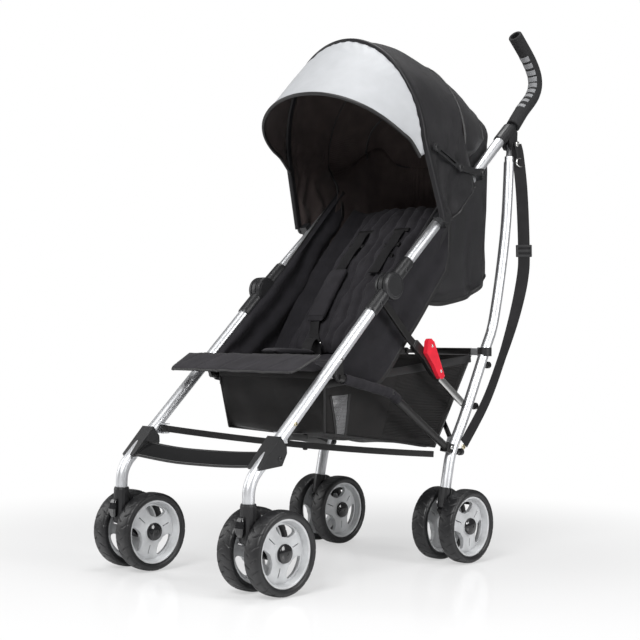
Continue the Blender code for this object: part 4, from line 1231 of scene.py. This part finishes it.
def basket_body():
    """One cloth down the front, along the floor and up the rear."""
    (front_low, front_high), (rear_low, rear_high) = BASKET_FRONT, BASKET_REAR
    run = vectors((0.1365, -0.1945, 0.3640), (0.1362, -0.1938, 0.3555))
    run += [front_high.lerp(front_low, k / 10) for k in range(10)]
    run += [front_low.lerp(rear_low, k / 18) for k in range(18)]
    run += [rear_low.lerp(rear_high, k / 12) for k in range(13)]
    for _ in range(2):
        inner = [run[k - 1] * 0.2 + run[k] * 0.6 + run[k + 1] * 0.2 for k in range(1, len(run) - 1)]
        run = [run[0]] + inner + [run[-1]]
    shares = [math.sin(math.pi / 2 * t) for t in spread(-1, 1, 40)]
    grid = [[Vector((p.x * u, p.y, p.z)) for u in shares] for p in run]

    def folds(u, v, p):
        edge = min(1.0, 7 * u, 7 * (1 - u), 12 * v, 12 * (1 - v))
        drape = 0.0035 * math.sin(TURN * (4.2 * v + 0.5 * math.sin(math.pi * u)))
        return edge * (0.0060 * wrinkle(p, 0.10, 4) + 0.0032 * wrinkle(p, 0.045, 6)
                       + (drape if v < 0.3 else 0.3 * drape))

    grid = displaced(grid, folds)
    cloth("basket_body_piece", grid, "basket", "seat_unit",
          ["rear_bar_left", "rear_bar_right", "seat_tube_left", "seat_tube_right"],
          "basket", "hung")
    return grid


def basket_wall(side, s):
    """A side wall with its tapered window in front and its mesh behind."""
    (front_low, front_high), (rear_low, rear_high) = BASKET_FRONT, BASKET_REAR
    grid = []
    for v in [0, 0.10, 0.20, 0.30] + [0.30 + 0.07 * k for k in range(1, 11)]:
        first = 0.035 + 0.055 * max(v - 0.27, 0) / 0.73
        columns = [0, first / 2] + [first + (0.17 - first) * k / 6 for k in range(6)]
        columns += [0.17 + 0.83 * k / 24 for k in range(25)]
        front, rear = front_high.lerp(front_low, v), rear_high.lerp(rear_low, v)
        grid.append([Vector((s * p.x, p.y, p.z)) for p in [front.lerp(rear, u) for u in columns]])

    def billow(u, v, p):
        edge = min(1.0, 8 * v, 8 * (1 - v), 10 * u, 10 * (1 - u))
        return edge * (0.0030 * wrinkle(p, 0.07, 3) + 0.0018 * wrinkle(p, 0.03, 5))

    grid = displaced(grid, billow)
    wall = cloth(f"basket_wall_{side}_piece", grid, "basket", "seat_unit",
                 [f"rear_bar_{side}", f"seat_tube_{side}"], "basket", "hung")
    wall.data.materials.append(LOOKS["net"])
    wall.data.materials.append(LOOKS["mesh"])
    across = len(grid[0]) - 1
    for k, face in enumerate(wall.data.polygons):
        column, row = k % across, k // across
        if 2 <= column < 8 and row >= 3:
            face.material_index = 1
        elif 17 <= column < across - 1 and 1 <= row < len(grid) - 2:
            face.material_index = 2
    seams = {"front": [row[0] for row in grid], "low": grid[-1], "back": [row[-1] for row in grid]}
    for where, line in seams.items():
        folding(f"basket_piping_{where}_{side}",
                swept(line, circle(0.0021, 8), Vector((0.9, 0.2, 0.3))), "piping", "seat_unit")
    folding(f"basket_hem_{side}", swept([p - HEM_DROP for p in grid[0]], BASKET_HEM), "piping",
            "seat_unit")
    for where, column in (("in", 2), ("out", 8)):
        rail = [row[column] + X_AXIS * (s * 0.0010) for row in grid[3:]]
        folding(f"basket_window_{where}_{side}", swept(rail, rounded(0.0010, 0.0030, 0.0009)),
                "piping", "seat_unit")


def basket():
    grid = basket_body()
    for side, s in SIDES:
        basket_wall(side, s)
    for where, row in (("front", grid[0]), ("rear", grid[-1])):
        hem = swept([p - HEM_DROP for p in row[1:-1]], BASKET_HEM, Y_AXIS)
        folding(f"basket_hem_{where}", hem, "basket", "seat_unit")


# Straps

WEBBING_HALF = 0.0125
STRAP_TWIST = math.radians(40)
SLIDER_Z = 0.6120


def webbing(name, points, half, body):
    obj = add(name, swept(points, rounded(half, 0.0009, 0.0008)), "webbing", 50)
    folds_with(obj, body)


def carry_strap():
    """The strap from the left bracket to the leg, its slider, tab, ring and bolts."""
    points = smooth_path(vectors(*STRAP_LINE), 12)
    rings, widths = [], []
    for p, run in zip(points, tangents(points)):
        plane = run.cross(X_AXIS).normalized()
        turn = STRAP_TWIST * min(1.0, max(0.0, (p.z - 0.40) / 0.14))
        turn *= min(1.0, (0.83 - p.z) / 0.03 + 0.4)
        wide = plane * math.cos(turn) - plane.cross(run) * math.sin(turn)
        thin = wide.cross(run)
        widths.append(wide)
        rings.append([p + thin * a + wide * b for a, b in rounded(0.0009, WEBBING_HALF, 0.0008)])
    strap = add("carry_strap_piece", lofted(rings), "webbing", 50)
    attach(strap, "left_side")
    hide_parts("carry_strap")
    near = min(range(1, len(points) - 1), key=lambda i: abs(points[i].z - SLIDER_Z))
    p, wide, run = points[near], widths[near], tangents(points)[near]
    bars = [swept([p - wide * 0.0155 + run * d, p + wide * 0.0155 + run * d],
                  rounded(0.0026, 0.0022, 0.0012), run) for d in (-0.010, 0.0, 0.010)]
    bars += [swept([p + wide * e - run * 0.0118, p + wide * e + run * 0.0118],
                   rounded(0.0020, 0.0026, 0.0012), wide) for e in (-0.0146, 0.0146)]
    fixed("strap_slider", join(bars), "black", "left_side", 30)
    tab = vectors((0.1808, 0.3225, 0.8330), (0.1822, 0.3280, 0.8160), (0.1826, 0.3320, 0.8000))
    fixed("strap_tab", swept(tab, rounded(0.0013, 0.0085, 0.0011, 3)), "black", "left_side", 30)
    centre = Vector((0.1826, 0.3345, 0.7930))
    loop = [centre + Vector((0.0004 * math.cos(a), 0.0125 * math.cos(a), 0.0085 * math.sin(a)))
            for a in spread(0, TURN, 32)]
    fixed("strap_ring", swept(loop, circle(0.0018, 10), caps=False), "steel", "left_side")
    rivet("strap_bolt", Vector((0.1768, 0.1600, 0.2190)), 0.0052, 0.0036, 1, "brass", "left_side")
    rivet("strap_rivet", Vector((0.1821, 0.3235, 0.8300)), 0.0058, 0.0022, 1, "steel", "left_side")


SLEEVE_LINE = ((-0.1760, 0.3512), (-0.1200, 0.3400), (-0.0620, 0.3282), (-0.0400, 0.3205),
               (-0.0260, 0.3118))
GUSSET_HEM = ((-0.1700, 0.3535), (-0.1200, 0.3430), (-0.0720, 0.3400))
GUSSET_TUBE = ((-0.1700, 0.3590), (-0.1200, 0.3490), (-0.0600, 0.3370))


def sleeves():
    """The cloth sleeve on each tube under the seat, and the gusset up to the wing's hem."""
    for side, s in SIDES:
        x = s * SIDE_X
        line = smooth_path(in_plane(x, *SLEEVE_LINE), 14)
        last = len(line) - 1
        rings = []
        for k, (p, tangent) in enumerate(zip(line, tangents(line))):
            creases = 0.0003 * math.sin(37.0 * k / last) + 0.0003 * math.sin(91.0 * k / last)
            rings.append(ring(p, tangent, 0.0093 + creases, 28))
        fixed(f"tube_sleeve_{side}", lofted(rings), "wing", f"{side}_side", 60)
        hem = smooth_path(in_plane(s * 0.1465, *GUSSET_HEM), 10)
        under = smooth_path(in_plane(x, *GUSSET_TUBE), 10)
        grid = [[a.lerp(b, t) + Z_AXIS * (0.0012 * math.sin(math.pi * t)) for t in spread(0, 1, 4)]
                for a, b in zip(hem, under)]
        cloth(f"wing_gusset_{side}", grid, "wing", f"{side}_side", [f"seat_tube_{side}"],
              keep=None, thickness=0.0012)


# Harness

SLOT_PATCHES = ((0.1330, "high"), (0.1060, "middle"), (0.0860, "low"))
PATCH_LIFT = 0.0168
PATCH_HALF = 0.0190
SHOULDER_X = 0.0470
# y along the backrest and distance off its line
SHOULDER_WEB = ((0.1330, 0.0170), (0.1200, 0.0205), (0.1060, 0.0190), (0.0900, 0.0215),
                (0.0720, 0.0215), (0.0560, 0.0230))


def on_back(x, y, lift):
    """A point standing lift off the backrest's line at y."""
    p, _, front, _ = min(BACK, key=lambda item: abs(item[0].y - y))
    return p + front * lift + X_AXIS * x


def cushion(name, points, half, thickness, body, front=None):
    """A small stuffed pad along a line, facing front or else as the backrest does."""
    rings = []
    for p, t in zip(points, spread(0, 1, len(points) - 1)):
        face = nearest(BACK, p)[2] if front is None else front
        end = max(1 - abs(2 * t - 1) ** 8, 0.02) ** 0.5
        points_round = []
        for c, d in circle(1, 28):
            wide = half * abs(c) ** 0.45 * (1 if c > 0 else -1) * (0.86 + 0.14 * end)
            thick = thickness * abs(d) ** 0.7 * (1 if d > 0 else -1) * end
            points_round.append(p + X_AXIS * wide + face * thick)
        rings.append(points_round)
    obj = add(name, lofted(rings), "seat", 60)
    folds_with(obj, body)


def harness():
    """Straps through their slots, shoulder pads, crotch strap, its pad and its adjuster."""
    for side, s in SIDES:
        x = s * SHOULDER_X
        for y, where in SLOT_PATCHES:
            p = on_back(x, y, PATCH_LIFT)
            run = on_back(x, y + 0.004, PATCH_LIFT) - on_back(x, y - 0.004, PATCH_LIFT)
            patch = swept([p - X_AXIS * PATCH_HALF, p + X_AXIS * PATCH_HALF],
                          rounded(0.0046, 0.0017, 0.0012), run.normalized())
            folding(f"slot_patch_{where}_{side}", patch, "piping", "backrest")
        strap = smooth_path([on_back(x, y, lift) for y, lift in SHOULDER_WEB], 6)
        webbing(f"shoulder_web_{side}", strap, WEBBING_HALF, "backrest")
    pad = [on_back(-0.0430, y, 0.0262) for y in spread(0.0600, -0.0120, 16)]
    cushion("shoulder_pad_right", pad, 0.0215, 0.0066, "backrest")
    tail = [on_back(-0.0430, -0.0100, 0.0240), on_back(-0.0350, -0.0240, 0.0200)]
    tail += vectors((-0.0150, -0.0580, 0.4120), (0, -0.0680, 0.4000))
    webbing("shoulder_tail_right", smooth_path(tail, 8), 0.0110, "backrest")
    pad = [on_back(0.0640, 0.0400, 0.0220), on_back(0.0780, 0.0180, 0.0220),
           on_back(0.0870, -0.0060, 0.0240), on_back(0.0860, -0.0300, 0.0220)]
    cushion("shoulder_pad_left", smooth_path(pad, 6), 0.0205, 0.0062, "backrest")
    adjuster = [swept([Vector((-0.0090, y, z)), Vector((0.0090, y, z))],
                      rounded(0.0014, 0.0014, 0.0010), Y_AXIS)
                for y, z in ((-0.0700, 0.3950), (-0.0690, 0.4050), (-0.0680, 0.4150))]
    adjuster += [swept([Vector((x, -0.0702, 0.3930)), Vector((x, -0.0678, 0.4170))],
                       rounded(0.0014, 0.0012, 0.0009)) for x in (-0.0085, 0.0085)]
    folding("harness_adjuster", join(adjuster), "steel", "seat_unit", sharp=35)
    belt = [Vector((0, -0.2000 + 0.1050 * t, 0.3985 - 0.0020 * t)) for t in spread(0, 1, 14)]
    cushion("crotch_pad", belt, 0.0200, 0.0062, "seat_unit", Z_AXIS)
    loop = in_plane(0, (-0.1000, 0.3940), (-0.0950, 0.4120), (-0.0840, 0.4220), (-0.0740, 0.4120),
                    (-0.0700, 0.3900))
    webbing("crotch_web", smooth_path(loop, 8), WEBBING_HALF, "seat_unit")


FOOT_REACH = 0.1476
FOOT_EDGE = (-0.3840, 0.2075)
FOOT_WIDTH = (0.0300, 0.0215)
FOOT_SAG = 0.0060


def footrest_strap():
    """The strap between the two footrest brackets, sagging in its middle."""
    grid = []
    for x in spread(-FOOT_REACH, FOOT_REACH, 60):
        middle = 1 - (x / FOOT_REACH) ** 2
        row = []
        for j in range(13):
            t = j / 12
            ripple = 0.0012 * wrinkle(Vector((x, j / 400, 0)), 0.10, 5) * middle
            row.append(Vector((x, FOOT_EDGE[0] + FOOT_WIDTH[0] * t,
                               FOOT_EDGE[1] + FOOT_WIDTH[1] * t - FOOT_SAG * middle
                               + 0.0008 * math.sin(math.pi * t) + ripple)))
        grid.append(row)
    cloth("footrest_strap_piece", grid, "strap_gloss", "seat_unit",
          ["footrest_bracket_left", "footrest_bracket_right"], "footrest_strap", thickness=0.0020)
    for k, column in enumerate((0, -1)):
        edge = swept([row[column] for row in grid], rounded(0.0020, 0.0014, 0.0010),
                     Vector((0, 0.8, 0.57)))
        folding(f"footrest_edge_{k}", edge, "piping", "seat_unit", sharp=50)


# All together

def build():
    bpy.context.scene.view_settings.view_transform = "Standard"
    studio()
    finish_cad()
    for make in (wheels, frame_tubes, knuckles, rivets, grips, seat_pads, seat_wings, calf_flap,
                 canopy, visor, basket, carry_strap, sleeves, harness, footrest_strap):
        make()


build()
